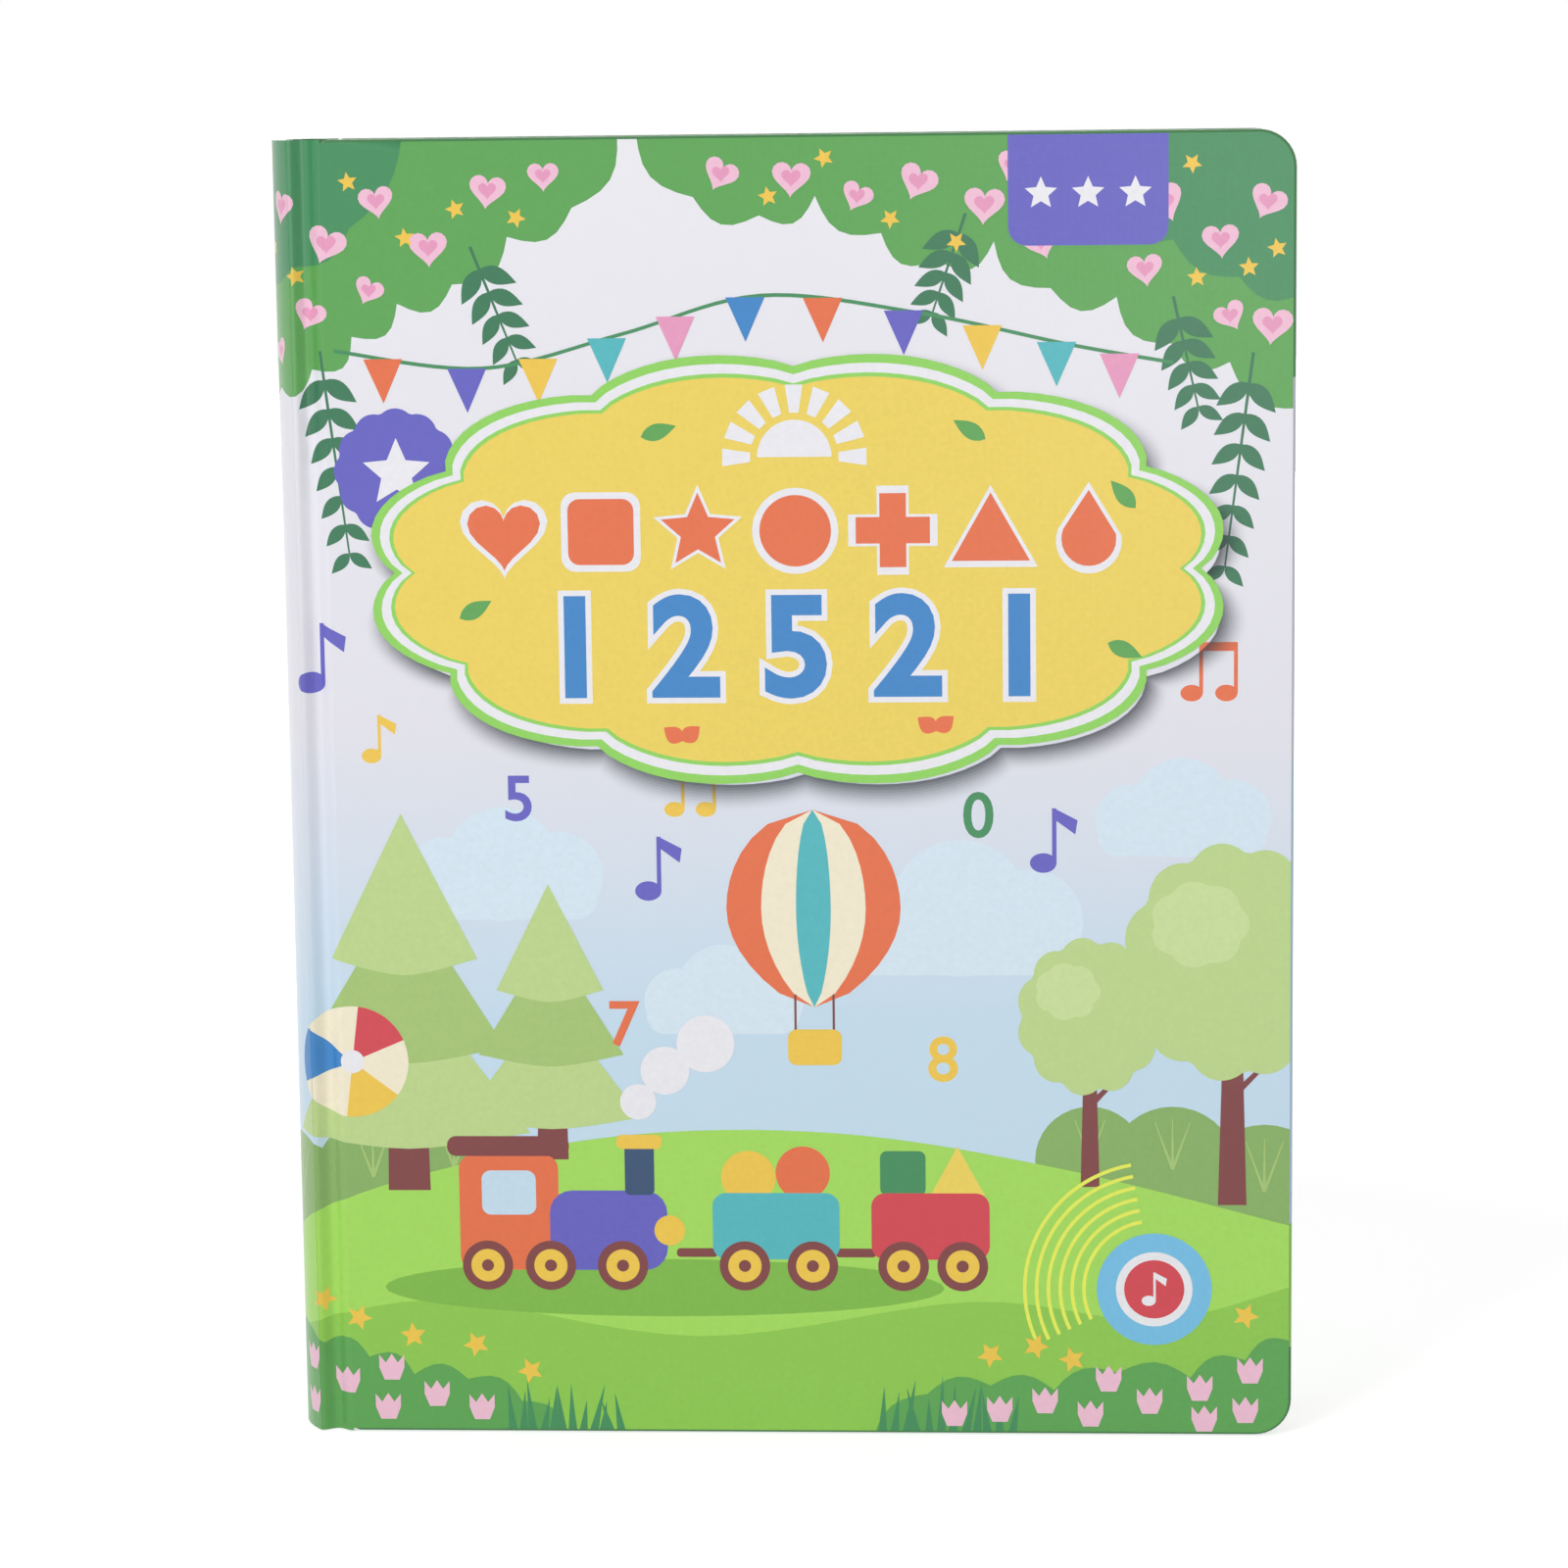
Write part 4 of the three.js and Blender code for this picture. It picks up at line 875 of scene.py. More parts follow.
# %% A striped balloon with its basket
def balloon(x, z, r, stripes, layer):
    count = len(stripes)
    for i, colour in enumerate(stripes):
        x0 = -1 + 2 * i / count
        x1 = -1 + 2 * (i + 1) / count
        side = []
        other = []
        for k in range(15):
            t = -1 + 2 * k / 14
            width = math.sqrt(max(1 - t * t, 0)) * (1.0 if t > 0 else 1 - 0.3 * t * t)
            side.append((x + r * x1 * width, z + r * 1.15 * t))
            other.append((x + r * x0 * width, z + r * 1.15 * t))
        draw(side[1:-1] + [(x, z + r * 1.15)] + other[1:-1][::-1] + [(x, z - r * 1.15)], layer, colour)
    for dx in (-0.22, 0.22):
        rope = [(-0.25, 0), (0.25, 0), (0.25, r * 0.5), (-0.25, r * 0.5)]
        draw(turn(rope, x + dx * r, z - r * 1.5, 0), layer, MAROON)
    draw(soft_box(x, z - r * 1.62, r * 0.62, r * 0.42, r * 0.1), layer + 1, GOLD)


balloon(6, 118, 19, [ORANGE, CREAM, TEAL, CREAM, ORANGE], 7)
tally("balloon")


# %% A toy train on the hill
def wheel(x, z, r):
    disc(x, z, r, 9, MAROON)
    disc(x, z, r * 0.66, 10, GOLD)
    disc(x, z, r * 0.24, 11, MAROON)


draw(soft_box(-62, 50, 22, 26, 3), 8, ORANGE)
draw(soft_box(-62, 65, 27, 4.5, 2), 9, MAROON)
draw(soft_box(-62, 54.5, 12, 10, 2), 9, SKY)
draw(soft_box(-40, 46, 26, 18, 5), 8, PURPLE)
draw(soft_box(-33, 60, 6.5, 12, 1.2), 8, NAVY)
draw(soft_box(-33, 66, 10, 3.2, 1.2), 9, GOLD)
disc(-26.5, 46, 3.4, 9, GOLD)
draw(soft_box(-3, 47, 28, 15, 3), 8, TEAL)
draw(soft_box(31, 47, 26, 15, 3), 8, RED)
for x in (-20.5, 14.5):
    draw(soft_box(x, 41, 9, 2, 0.8), 7, MAROON)
for x in (-67, -53, -37, -10, 5, 25, 38):
    wheel(x, 38, 5.6)
for x, z, colour in ((-9, 58, GOLD), (3, 59, ORANGE)):
    disc(x, z, 6, 7, colour)
draw(soft_box(25, 59, 10, 10, 1.5), 7, LEAF_DARK)
draw(turn([(-6, -5), (6, -5), (0, 6)], 37, 59, 0), 7, YELLOW)
for x, z, r in ((-33, 75, 4), (-27, 82, 5.4), (-18, 88, 6.4)):
    disc(x, z, r, 6, WHITE)
tally("train")

# %% A beach ball in six sectors
BALL = (-96, 84)
BALL_R = 12.4
SECTOR = math.pi / 3
for i, colour in enumerate((RED, CREAM, BLUE, CREAM, GOLD, CREAM)):
    a = SECTOR * i + 0.4
    arc = ring_points(*BALL, BALL_R, BALL_R, 12, a, a + SECTOR + 0.02)
    end = (BALL[0] + BALL_R * math.cos(a + SECTOR), BALL[1] + BALL_R * math.sin(a + SECTOR))
    draw([BALL] + arc + [end], 8, colour)
disc(*BALL, 2.6, 9, WHITE)
tally("ball")

# %% [markdown]
# ## The front cover: press mark and foot
# A round mark with arcs like sound waves tells a child that the book can be heard. Leaves and
# tulips close the scene at the foot, as the canopy does at the head.

# %% The press mark and its sound arcs
PRESS = (80, 33)
for k in range(6):
    r = 15 + 2.6 * k
    draw(band_points(*PRESS, r, r + 0.8, 1.75, 3.6), 7, ARC_YELLOW)
disc(*PRESS, 12.6, 8, RING)
disc(*PRESS, 8.4, 9, WHITE)
disc(*PRESS, 6.6, 10, RED)
note(PRESS[0] - 1.2, PRESS[1] - 2.6, 6.4, WHITE, 11)
tally("press mark")

# %% Low leaves and blades of grass
low_left = [(LEFT, 22), (-104, 20), (-94, 17), (-84, 13), (-72, 12), (-60, 7), (-50, -1)]
draw([(LEFT, -1)] + bumpy_edge(low_left, 3), 8, LEAF)
low_right = [(18, -1), (30, 9), (44, 11), (58, 10), (72, 14), (88, 13), (100, 17), (RIGHT, 21)]
draw(bumpy_edge(low_right, 3) + [(RIGHT, -1)], 8, LEAF)
for k in range(12):
    x = 20 + k * 2.6
    draw([(x - 1.1, -1), (x + 1.1, -1), (x + rng.uniform(-3, 3), rng.uniform(8, 14))], 9, LEAF_DARK)
    x = -62 + k * 2.2
    draw([(x - 1.1, -1), (x + 1.1, -1), (x + rng.uniform(-3, 3), rng.uniform(7, 12))], 9, LEAF_DARK)
tally("low leaves and grass")

# %% Tulips and stars at the foot
TULIP = [
    (-0.5, 0.1), (-0.3, -0.4), (0.3, -0.4), (0.5, 0.1), (0.5, 0.62), (0.24, 0.3), (0, 0.66),
    (-0.24, 0.3), (-0.5, 0.62),
]


def tulip(x, z, size, colour):
    draw([(x + px * size, z + pz * size) for px, pz in TULIP], 10, colour)


TULIPS = (
    (-108, 6), (-108, 16), (-99, 11), (-90, 5), (-89, 14), (-79, 8), (-69, 5), (46, 5), (56, 7),
    (66, 4), (70, 12), (79, 7), (90, 10), (91, 3), (100, 5), (101, 14), (36, 4),
)
for x, z in TULIPS:
    tulip(x, z, 5.6, PINK)
FOOT_STARS = (
    (-96, 26), (-84, 22), (-70, 20), (44, 18), (54, 20), (-104, 30), (100, 27), (62, 17), (-58, 14),
)
for x, z in FOOT_STARS:
    draw(turn(star_points(3.0), x, z, rng.uniform(0, 1)), 9, GOLD)
tally("the whole front")

# %% [markdown]
# ## Pressing the design on to the case
# The wrap is one sheet over three kinds of ground: the flat board, the joint that dips beside it,
# and the spine's bow. An image could be projected there, but flat inks need real outlines. So
# each shape is cut where one part ends and creased where the surface bends, and then every point
# is moved on to the surface. U is the way along the sheet, from the spine to the fore-edge.

# %% The surface of the sheet
LEVEL = 0.006  # one ink's height over the next, too small to see
FIRST_LIFT = 0.02  # the lowest ink's height over the case
JOINT_STEPS = 14
SPINE_STEPS = 12


def on_wrap(u, z, lift, side=-1):
    """The point and outward lift for a place on the wrap. side is -1 in front and 1 behind."""
    if u >= BOARD_X:
        x, y = u, FRONT_Y - lift
    elif u >= SHOULDER_X:
        t = (BOARD_X - u) / JOINT
        x, y = u, FRONT_Y + DIP * math.sin(math.pi * t) ** 2 - lift
        y += SHOULDER_DROP * t**3
    else:
        angle = BOW_ANGLE - (SHOULDER_X - u) / BOW_RADIUS
        radius = BOW_RADIUS + lift
        x = BOW_CENTRE - radius * math.cos(angle)
        y = -radius * math.sin(angle)
    return Vector((x, -side * y, z)) * MM


# %% The same surface as flat strips between bend lines
STRIPS = {
    "joint": (SHOULDER_X, BOARD_X, JOINT_STEPS),
    "spine": (SPINE_U, SHOULDER_X, SPINE_STEPS),
}


def on_facets(u, z, lift, side, part):
    """As on_wrap, but flat between the bend lines, so that stacked inks stay parallel."""
    if part not in STRIPS:
        return on_wrap(u, z, lift, side)
    low_u, high_u, steps = STRIPS[part]
    width = (high_u - low_u) / steps
    k = min(max(int((u - low_u) / width), 0), steps - 1)
    a = low_u + k * width
    t = (u - a) / width
    last = a + width - (1e-7 if part == "spine" and k == steps - 1 else 0)
    near_end, far_end = on_wrap(a, z, lift, side), on_wrap(last, z, lift, side)
    return near_end.lerp(far_end, t)


# %% The outline of the board's flat face
def panel_edges():
    """The flat face's outline, as (point, outward direction) for each cut."""
    left, right = BOARD_X + 0.05, FORE_X - ROUND
    bottom, top = ROUND, HEIGHT - ROUND
    r = CORNER - ROUND
    cuts = [((0, bottom), (0, -1)), ((0, top), (0, 1)), ((right, 0), (1, 0)), ((left, 0), (-1, 0))]
    for z, sign in ((bottom + r, -1), (top - r, 1)):
        for k in range(1, 12):
            a = math.pi / 2 * k / 12
            direction = (math.cos(a), sign * math.sin(a))
            cuts.append(((right - r + r * direction[0], z + r * direction[1]), direction))
    return cuts


# %% Outlines of the strips, and their bend lines
def strip_edges(u0, u1):
    return [((u0, 0), (-1, 0)), ((u1, 0), (1, 0)), ((0, 0.05), (0, -1)), ((0, HEIGHT - 0.05), (0, 1))]


def bends(u0, u1, steps):
    return [u0 + (u1 - u0) * i / steps for i in range(1, steps)]


print("bend lines in a joint", len(bends(*STRIPS["joint"])))

# %% [markdown]
# ## The module's window
# On the back the wrap has an opening, through which the module's plastic face shows. Boolean cuts
# on hundreds of thin shapes would be slow and fragile. Four parts round the opening, each with
# straight edges, do the same with plain cuts.

# %% The parts of the wrap, with their cuts and creases
RIM = 1.7  # how far the wrap reaches over the module's rim
base_low, base_high = (Vector(c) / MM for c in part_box("module_base"))
WINDOW = (base_low.x + RIM, base_high.x - RIM, base_low.z + RIM, base_high.z - RIM)
beside = [((0, WINDOW[2]), (0, -1)), ((0, WINDOW[3]), (0, 1))]
PARTS = {
    "panel": (panel_edges(), []),
    "below_window": (panel_edges() + [((0, WINDOW[2]), (0, 1))], []),
    "above_window": (panel_edges() + [((0, WINDOW[3]), (0, -1))], []),
    "left_of_window": (panel_edges() + beside + [((WINDOW[0], 0), (1, 0))], []),
    "right_of_window": (panel_edges() + beside + [((WINDOW[1], 0), (-1, 0))], []),
    "joint": (strip_edges(SHOULDER_X, BOARD_X + 0.05), bends(*STRIPS["joint"])),
    "spine": (strip_edges(SPINE_U, SHOULDER_X), bends(*STRIPS["spine"])),
}
print("window in mm", [round(v, 1) for v in WINDOW])


# %% Cut a flat shape along a line
def cut(bm, place, direction, clear):
    geometry = bm.verts[:] + bm.edges[:] + bm.faces[:]
    bmesh.ops.bisect_plane(
        bm,
        geom=geometry,
        dist=1e-6,
        plane_co=(place[0], place[1], 0),
        plane_no=(direction[0], direction[1], 0),
        clear_outer=clear,
    )


# %% Trim one shape to one part
def pressed(part, shape):
    """The shape, trimmed to one part of the wrap, as a flat bmesh, or None."""
    verts, faces, _, _ = shape
    edges, creases = PARTS[part]
    bm = bmesh.new()
    made = [bm.verts.new((v.x, v.y, 0)) for v in verts]
    for face in faces or [range(len(made))]:
        try:
            bm.faces.new([made[i] for i in face])
        except ValueError:
            pass
    bm.normal_update()
    bmesh.ops.triangulate(bm, faces=bm.faces[:])
    for place, direction in edges:
        past = [(v.co.x - place[0]) * direction[0] + (v.co.y - place[1]) * direction[1] for v in bm.verts]
        if past and max(past) > 1e-6:
            cut(bm, place, direction, True)
    if not bm.faces:
        bm.free()
        return None
    u0 = min(v.co.x for v in bm.verts)
    u1 = max(v.co.x for v in bm.verts)
    for u in creases:
        if u0 < u < u1:
            cut(bm, (u, 0), (1, 0), False)
    bmesh.ops.triangulate(bm, faces=bm.faces[:])
    return bm


# %% [markdown]
# ## Inks in the right order
# Where two inks overlap, the later one has to lie on top, or both flicker in the same plane. A
# height for each layer number would lift the top inks needlessly. Instead each shape is placed
# just above the highest earlier shape that its box touches.


# %% See-through inks for the printed shadow
def shade_material(k):
    material, nodes, links, shader = start(f"ink_shade_{k}", 0.5)
    shader.inputs["Base Color"].default_value = linear(SHADOW_GREY)
    shader.inputs["Alpha"].default_value = 0.62 * ((k + 1) / SHADES) ** 1.6
    coordinates = object_coordinates(nodes)
    add_bump(nodes, links, shader, noise(nodes, links, coordinates, 900), 0.01 * MM, 0.1)
    return material


special = {f"shade_{k}": shade_material(k) for k in range(SHADES)}
special["ground"] = ground_ink


def material_for(colour):
    return special.get(colour) or ink(colour)


# %% Find each shape's level
def stacked(shapes):
    """Each shape with its level, one above every earlier shape that its box touches."""
    placed = []
    for shape in sorted(shapes, key=lambda entry: entry[2]):
        xs = [v.x for v in shape[0]]
        zs = [v.y for v in shape[0]]
        box = (min(xs), max(xs), min(zs), max(zs))
        level = 0
        for other, below, _ in placed:
            if other[0] < box[1] and box[0] < other[1] and other[2] < box[3] and box[2] < other[3]:
                level = max(level, below + 1)
        placed.append((box, level, shape))
    return [(level, shape) for _, level, shape in placed]


print("levels in the front", max(level for level, _ in stacked(drawn)) + 1)

# %% [markdown]
# ## Printed pieces
# The front is three pieces of one design: the board's face, which opens with the cover; the joint,
# a piece of its own that isn't attached to a body; and half of the spine, which stays with the
# leaves. One mesh would tear at the first opening, and one deforming mesh would bend the board too.


# %% Meshes and objects
def built_mesh(name, verts, faces, materials, indices):
    """A mesh in which each face takes one of the materials."""
    mesh = bpy.data.meshes.new(name)
    mesh.from_pydata(verts, [], faces)
    for material in materials:
        mesh.materials.append(material)
    mesh.polygons.foreach_set("material_index", indices)
    return mesh


def add_object(name, data):
    made = bpy.data.objects.new(name, data)
    bpy.context.scene.collection.objects.link(made)
    return made


# %% All faces of some parts, with their inks
def gathered(parts, side, shapes):
    verts, faces, inks_used, indices = [], [], [], []
    for part, (level, shape) in [(part, entry) for entry in stacked(shapes) for part in parts]:
        bm = pressed(part, shape)
        if bm is None:
            continue
        material = material_for(shape[3])
        if material not in inks_used:
            inks_used.append(material)
        lift = FIRST_LIFT + LEVEL * level
        base = len(verts)
        bm.verts.index_update()
        verts += [on_facets(v.co.x, v.co.y, lift, side, part) for v in bm.verts]
        for face in bm.faces:
            order = [base + v.index for v in face.verts]
            normal = face.normal.z if side == -1 else -face.normal.z
            faces.append(order[::-1] if normal > 0 else order)
            indices.append(inks_used.index(material))
        bm.free()
    return verts, faces, inks_used, indices


# %% Turn every face outwards
def face_outwards(mesh, outward):
    """Without a direction, outwards is away from the middle of the spine's bow."""
    bm = bmesh.new()
    bm.from_mesh(mesh)
    for face in bm.faces:
        place = face.calc_center_median()
        facing = outward or (place - Vector((BOW_CENTRE * MM, 0, place.z)))
        if face.normal.dot(facing) < 0:
            face.normal_flip()
        face.smooth = True
    bm.to_mesh(mesh)
    bm.free()


# %% One printed piece
def print_piece(name, parts, side, shapes):
    verts, faces, inks_used, indices = gathered(parts, side, shapes)
    mesh = built_mesh(name, verts, faces, inks_used, indices)
    face_outwards(mesh, Vector((0, side, 0)) if "spine" not in parts else None)
    piece = add_object(name, mesh)
    print(name, len(faces), "faces,", len(inks_used), "inks")
    return piece


# %% The front's face, joint and half spine
front_panel = print_piece("front_print", ["panel"], -1, drawn)
front_joint_print = print_piece("front_joint_print", ["joint"], -1, drawn)
front_spine_print = print_piece("front_spine_print", ["spine"], -1, drawn)
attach(front_panel, "front_cover")
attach(front_spine_print, "block")
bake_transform(front_joint_print)

# %% [markdown]
# ## The bowed spine
# A hardback's spine is a stiff strip bent to a shallow bow. The frame's spine is cut in few
# facets. A shell swept up the height of the book follows the same circle more smoothly, and it
# takes the frame solid's place. Its ends show the wrap that is turned in over the head and foot.


# %% Faces between two lines, from foot to head
def wall_faces(count):
    """Faces and material numbers of a wall. The inner line's faces take the second material."""
    faces, indices = [], []

    def quad(a, b, c, d, index):
        faces.append((a, b, c, d))
        indices.append(index)

    o0, o1, i0, i1 = 0, count, 2 * count, 3 * count
    for k in range(count - 1):
        quad(o0 + k, o0 + k + 1, o1 + k + 1, o1 + k, 0)
        quad(i0 + k, i1 + k, i1 + k + 1, i0 + k + 1, 1)
        quad(o1 + k, o1 + k + 1, i1 + k + 1, i1 + k, 0)
        quad(o0 + k, i0 + k, i0 + k + 1, o0 + k + 1, 0)
    quad(o0, o1, i1, i0, 0)
    quad(o0 + count - 1, i0 + count - 1, i1 + count - 1, o1 + count - 1, 0)
    return faces, indices


# %% Sweep a section up the height of the book
def swept(name, outer, inner, materials, low_z=0.0, high_z=HEIGHT):
    """A wall between two lines of (x, y) points in mm."""
    verts = []
    for line in (outer, inner):
        for z in (low_z, high_z):
            verts += [Vector((x, y, z)) * MM for x, y in line]
    faces, indices = wall_faces(len(outer))
    mesh = built_mesh(name, verts, faces, materials, indices)
    bm = bmesh.new()
    bm.from_mesh(mesh)
    bmesh.ops.recalc_face_normals(bm, faces=bm.faces)
    bm.to_mesh(mesh)
    bm.free()
    return add_object(name, mesh)


# %% The spine's section, front half and back half
SPINE_CARD = 2.0  # thickness of the spine's card


def wrap_line(u0, u1, count, lift, side=-1):
    points = []
    for k in range(count + 1):
        p = on_wrap(u0 + (u1 - u0) * k / count, 0, lift, side) / MM
        points.append((p.x, p.y))
    return points


def both_halves(lift):
    """The line from the front shoulder to the back one. It starts just inside the spine's part."""
    front_half = wrap_line(SHOULDER_X - 1e-6, SPINE_U, SPINE_STEPS, lift)
    return front_half + [(x, -y) for x, y in reversed(front_half)][1:]


spine_outer, spine_inner = both_halves(0), both_halves(-SPINE_CARD)
# The shell takes the edge ink, so its ends show the edges' painted shade.
spine_shell = swept("spine_shell", spine_outer, spine_inner, [shaded_edge_ink, shaded_edge_ink])
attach(spine_shell, "block")
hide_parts("spine")
print("spine shell", len(spine_shell.data.polygons), "faces")

# %% [markdown]
# ## Endpapers
# Endpapers are folded sheets: one half is pasted to the board, the other to the first leaf, and
# the fold closes the gutter between them. A folding sheet would need cloth. Two thin stepped
# strips, one fixed to the leaves and one that swings with the cover, close the gutter at every
# angle, and they lie too close together for the step between them to show.

# %% Lines of the two strips, as (x, y) in mm on the front
GUTTER = [(-97.4, -10.15), (-101.0, -10.22), (-104.5, -10.3), (-104.5, -12.2)]
HINGED = [(-97.7, -10.62), (-101.0, -10.72), (-104.3, -10.84), (-104.3, -12.3)]
PAPER = 0.08  # thickness of the strips
END_GAP = 3  # how far they stay from head and foot


def offset_line(points, gap):
    """The same line, moved sideways by the gap."""
    moved = []
    for k, point in enumerate(points):
        before = Vector(points[max(k - 1, 0)])
        after = Vector(points[min(k + 1, len(points) - 1)])
        along = (after - before).normalized()
        moved.append((point[0] + along.y * gap, point[1] - along.x * gap))
    return moved


# %% Sweep them for both covers
for side, name, body in ((-1, "front", "front_cover"), (1, "back", "back_cover")):
    for kind, line, owner in (("fixed", GUTTER, "block"), ("hinged", HINGED, body)):
        near_line = [(x, -side * y) for x, y in line]
        far_line = [(x, -side * y) for x, y in offset_line(line, -PAPER)]
        ends = (END_GAP, HEIGHT - END_GAP)
        papers = [surfaces["lining_paper"]]
        endpaper = swept(f"{name}_endpaper_{kind}", near_line, far_line, papers, *ends)
        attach(endpaper, owner)
    print(name, "endpapers made")

# %% [markdown]
# ## The back cover's design
# The back isn't in the photograph. It carries the same garden, quieter, round the module's
# window, with five stars and three numerals over it. Using the front's own functions again keeps
# both sides in one hand.

# %% The back's sheet, clouds and land
drawn = []
draw([(LEFT, -1), (RIGHT, -1), (RIGHT, TOP), (LEFT, TOP)], 0, "ground")
for cx, cz, w in ((-76, 148, 30), (78, 152, 32), (-70, 96, 26)):
    cloud(cx, cz, w)
for cx, cz, r in ((-112, 52, 15), (-92, 56, 12), (96, 54, 13)):
    disc(cx, cz, r, 2, OLIVE)
rise_of_land([(LEFT, 42), (-70, 52), (-10, 48), (50, 54), (RIGHT, 46)], 4, LIME)
rise_of_land([(LEFT, 20), (-70, 30), (0, 24), (60, 30), (RIGHT, 24)], 5, LIME_DARK)
tally("back: sky and land")

# %% The back's leaves, hearts and tulips
leaves_top = [
    (LEFT, 236), (-111, 232), (-101, 240), (-88, 250), (-70, 258), (-48, 264), (-24, 270),
    (0, 272), (26, 268), (52, 266), (74, 258), (92, 250), (RIGHT, 238),
]
canopy(leaves_top[::-1], 4, 6, LEAF)
canopy(DARK_LEFT[::-1], 3, 7, LEAF_DARK)
for x in range(-112, 112, 16):
    z = rng.uniform(262, 278) if abs(x) < 60 else rng.uniform(248, 276)
    draw(turn(heart_points(4.2), x, z, rng.uniform(-0.5, 0.5)), 8, PINK)
    draw(turn(star_points(2.2), x + 8, rng.uniform(272, 280), 0), 8, GOLD)
foot_leaves = [
    (LEFT, 22), (-104, 20), (-92, 16), (-78, 12), (-60, 10), (-40, 8), (-16, 9), (8, 7), (32, 9),
    (56, 8), (76, 11), (94, 14), (RIGHT, 19),
]
draw([(LEFT, -1)] + bumpy_edge(foot_leaves, 3) + [(RIGHT, -1)], 8, LEAF)
for x in range(-110, 108, 14):
    tulip(x, rng.uniform(4, 8), 5.6, PINK)
tally("back: leaves and tulips")

# %% The back's stars, numerals and notes
for k, colour in enumerate((ORANGE, GOLD, TEAL, PURPLE, ROSE)):
    disc(-68 + 34 * k, 222, 11.5, 7, colour)
    draw(turn(star_points(6.5), -68 + 34 * k, 222, 0), 8, WHITE)
numeral("752", 0, 182, 30, 7, WHITE, 2.1, 1.6, -1)
numeral("752", 0, 182, 30, 8, BLUE, 0.9, 1.6, -1)
note(-70, 172, 14, PURPLE)
beamed(60, 170, 13, GOLD)
tally("the whole back")

# %% [markdown]
# ## Behind the joints
# When a cover opens, the back of the joint's paper comes into sight. The print's mesh has one side
# only, so a second sheet lies just under it, in the joint's shape. At head and foot it has the colour
# of the wrap that is turned in there.

# %% Heights where the turned-in wrap begins
TURN_IN = 12.0
heights = (0.02, TURN_IN, HEIGHT - TURN_IN, HEIGHT - 0.02)


def joint_sheet(side):
    """Points, faces and material numbers of the sheet behind one joint."""
    verts, faces, indices = [], [], []
    for k in range(JOINT_STEPS + 1):
        u = SHOULDER_X + JOINT * k / JOINT_STEPS
        verts += [on_wrap(u, z, 0.01, side) for z in heights]
    for k in range(JOINT_STEPS):
        for row, turned_in in enumerate((1, 0, 1)):
            corner = 4 * k + row
            faces.append((corner, corner + 4, corner + 5, corner + 1))
            indices.append(turned_in)
    return verts, faces, indices


# %% The sheets behind both joints
for side, name, body in ((-1, "front", "front_cover"), (1, "back", "back_cover")):
    verts, faces, indices = joint_sheet(side)
    # The turned-in rows at head and foot take the edge ink, with its painted shade.
    mesh = built_mesh(f"{name}_joint_paper", verts, faces, [surfaces["page_card"], shaded_edge_ink], indices)
    mesh.polygons.foreach_set("use_smooth", [True] * len(faces))
    paper = add_object(mesh.name, mesh)
    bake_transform(paper)
    print(paper.name, len(faces), "faces")

# %% [markdown]
# ## The back, pressed on as well
# The back is printed with the front, on the same sheet. It is cut and bent by the same functions,
# with the module's opening left free. Mirroring the front's meshes would be shorter, but a real
# back has a design of its own.

# %% Press the back on to its board, joint and half of the spine
round_window = ["below_window", "above_window", "left_of_window", "right_of_window"]
back_panel = print_piece("back_print", round_window, 1, drawn)
back_joint_print = print_piece("back_joint_print", ["joint"], 1, drawn)
back_spine_print = print_piece("back_spine_print", ["spine"], 1, drawn)
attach(back_panel, "back_cover")
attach(back_spine_print, "block")
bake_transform(back_joint_print)
print("the back is three pieces too")

# %% [markdown]
# ## The first leaf
# The leaves are plain card. On the first one, each press key has a coloured tile with a motif
# over it and a ring round it, which shows a child where to press. The leaf is flat, so these
# shapes need no cutting: they lie a few hundredths of a millimetre over the card.

# %% Lists for the leaf's print
page_low = Vector(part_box("pages")[0])
tiles = [CROWN, SKY, YELLOW, PINK, "#C9C7EC", CLOUD, GOLD, "#BFE3C0", "#F2C6A8"]
TILE_LIFT, MOTIF_LIFT = 0.03, 0.06
verts, faces, indices, page_inks = [], [], [], []


def page_shape(points, lift, colour):
    if colour not in page_inks:
        page_inks.append(colour)
    base = len(verts)
    verts.extend(Vector((x * MM, page_low.y - lift * MM, z * MM)) for x, z in points)
    faces.append(list(range(base, base + len(points))))
    indices.append(page_inks.index(colour))


def ring_shape(x, z, r0, r1, lift, colour, count=28):
    for k in range(count):
        a0, a1 = 2 * math.pi * k / count, 2 * math.pi * (k + 1) / count
        places = ((r0, a0), (r1, a0), (r1, a1), (r0, a1))
        page_shape([(x + r * math.cos(a), z + r * math.sin(a)) for r, a in places], lift, colour)


# %% A tile, a motif and a ring for each key
TILE_RISE = 34.5  # from a key to the middle of its tile
motifs = ((star_points(11), ORANGE), (heart_points(11), BLUE), (disc_points(11), PURPLE))
for k, colour in enumerate(tiles, 1):
    key_low, key_high = (Vector(c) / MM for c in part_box(f"page_key_{k}"))
    kx, kz = (key_low.x + key_high.x) / 2, (key_low.z + key_high.z) / 2
    page_shape(soft_box(kx, kz + TILE_RISE, 54, 34, 5), TILE_LIFT, colour)
    motif, motif_ink = motifs[k % 3]
    page_shape(turn(motif, kx, kz + TILE_RISE, 0), MOTIF_LIFT, motif_ink)
    ring_shape(kx, kz, 8.0, 10.2, TILE_LIFT, RING)
print("shapes on the first leaf", len(faces))

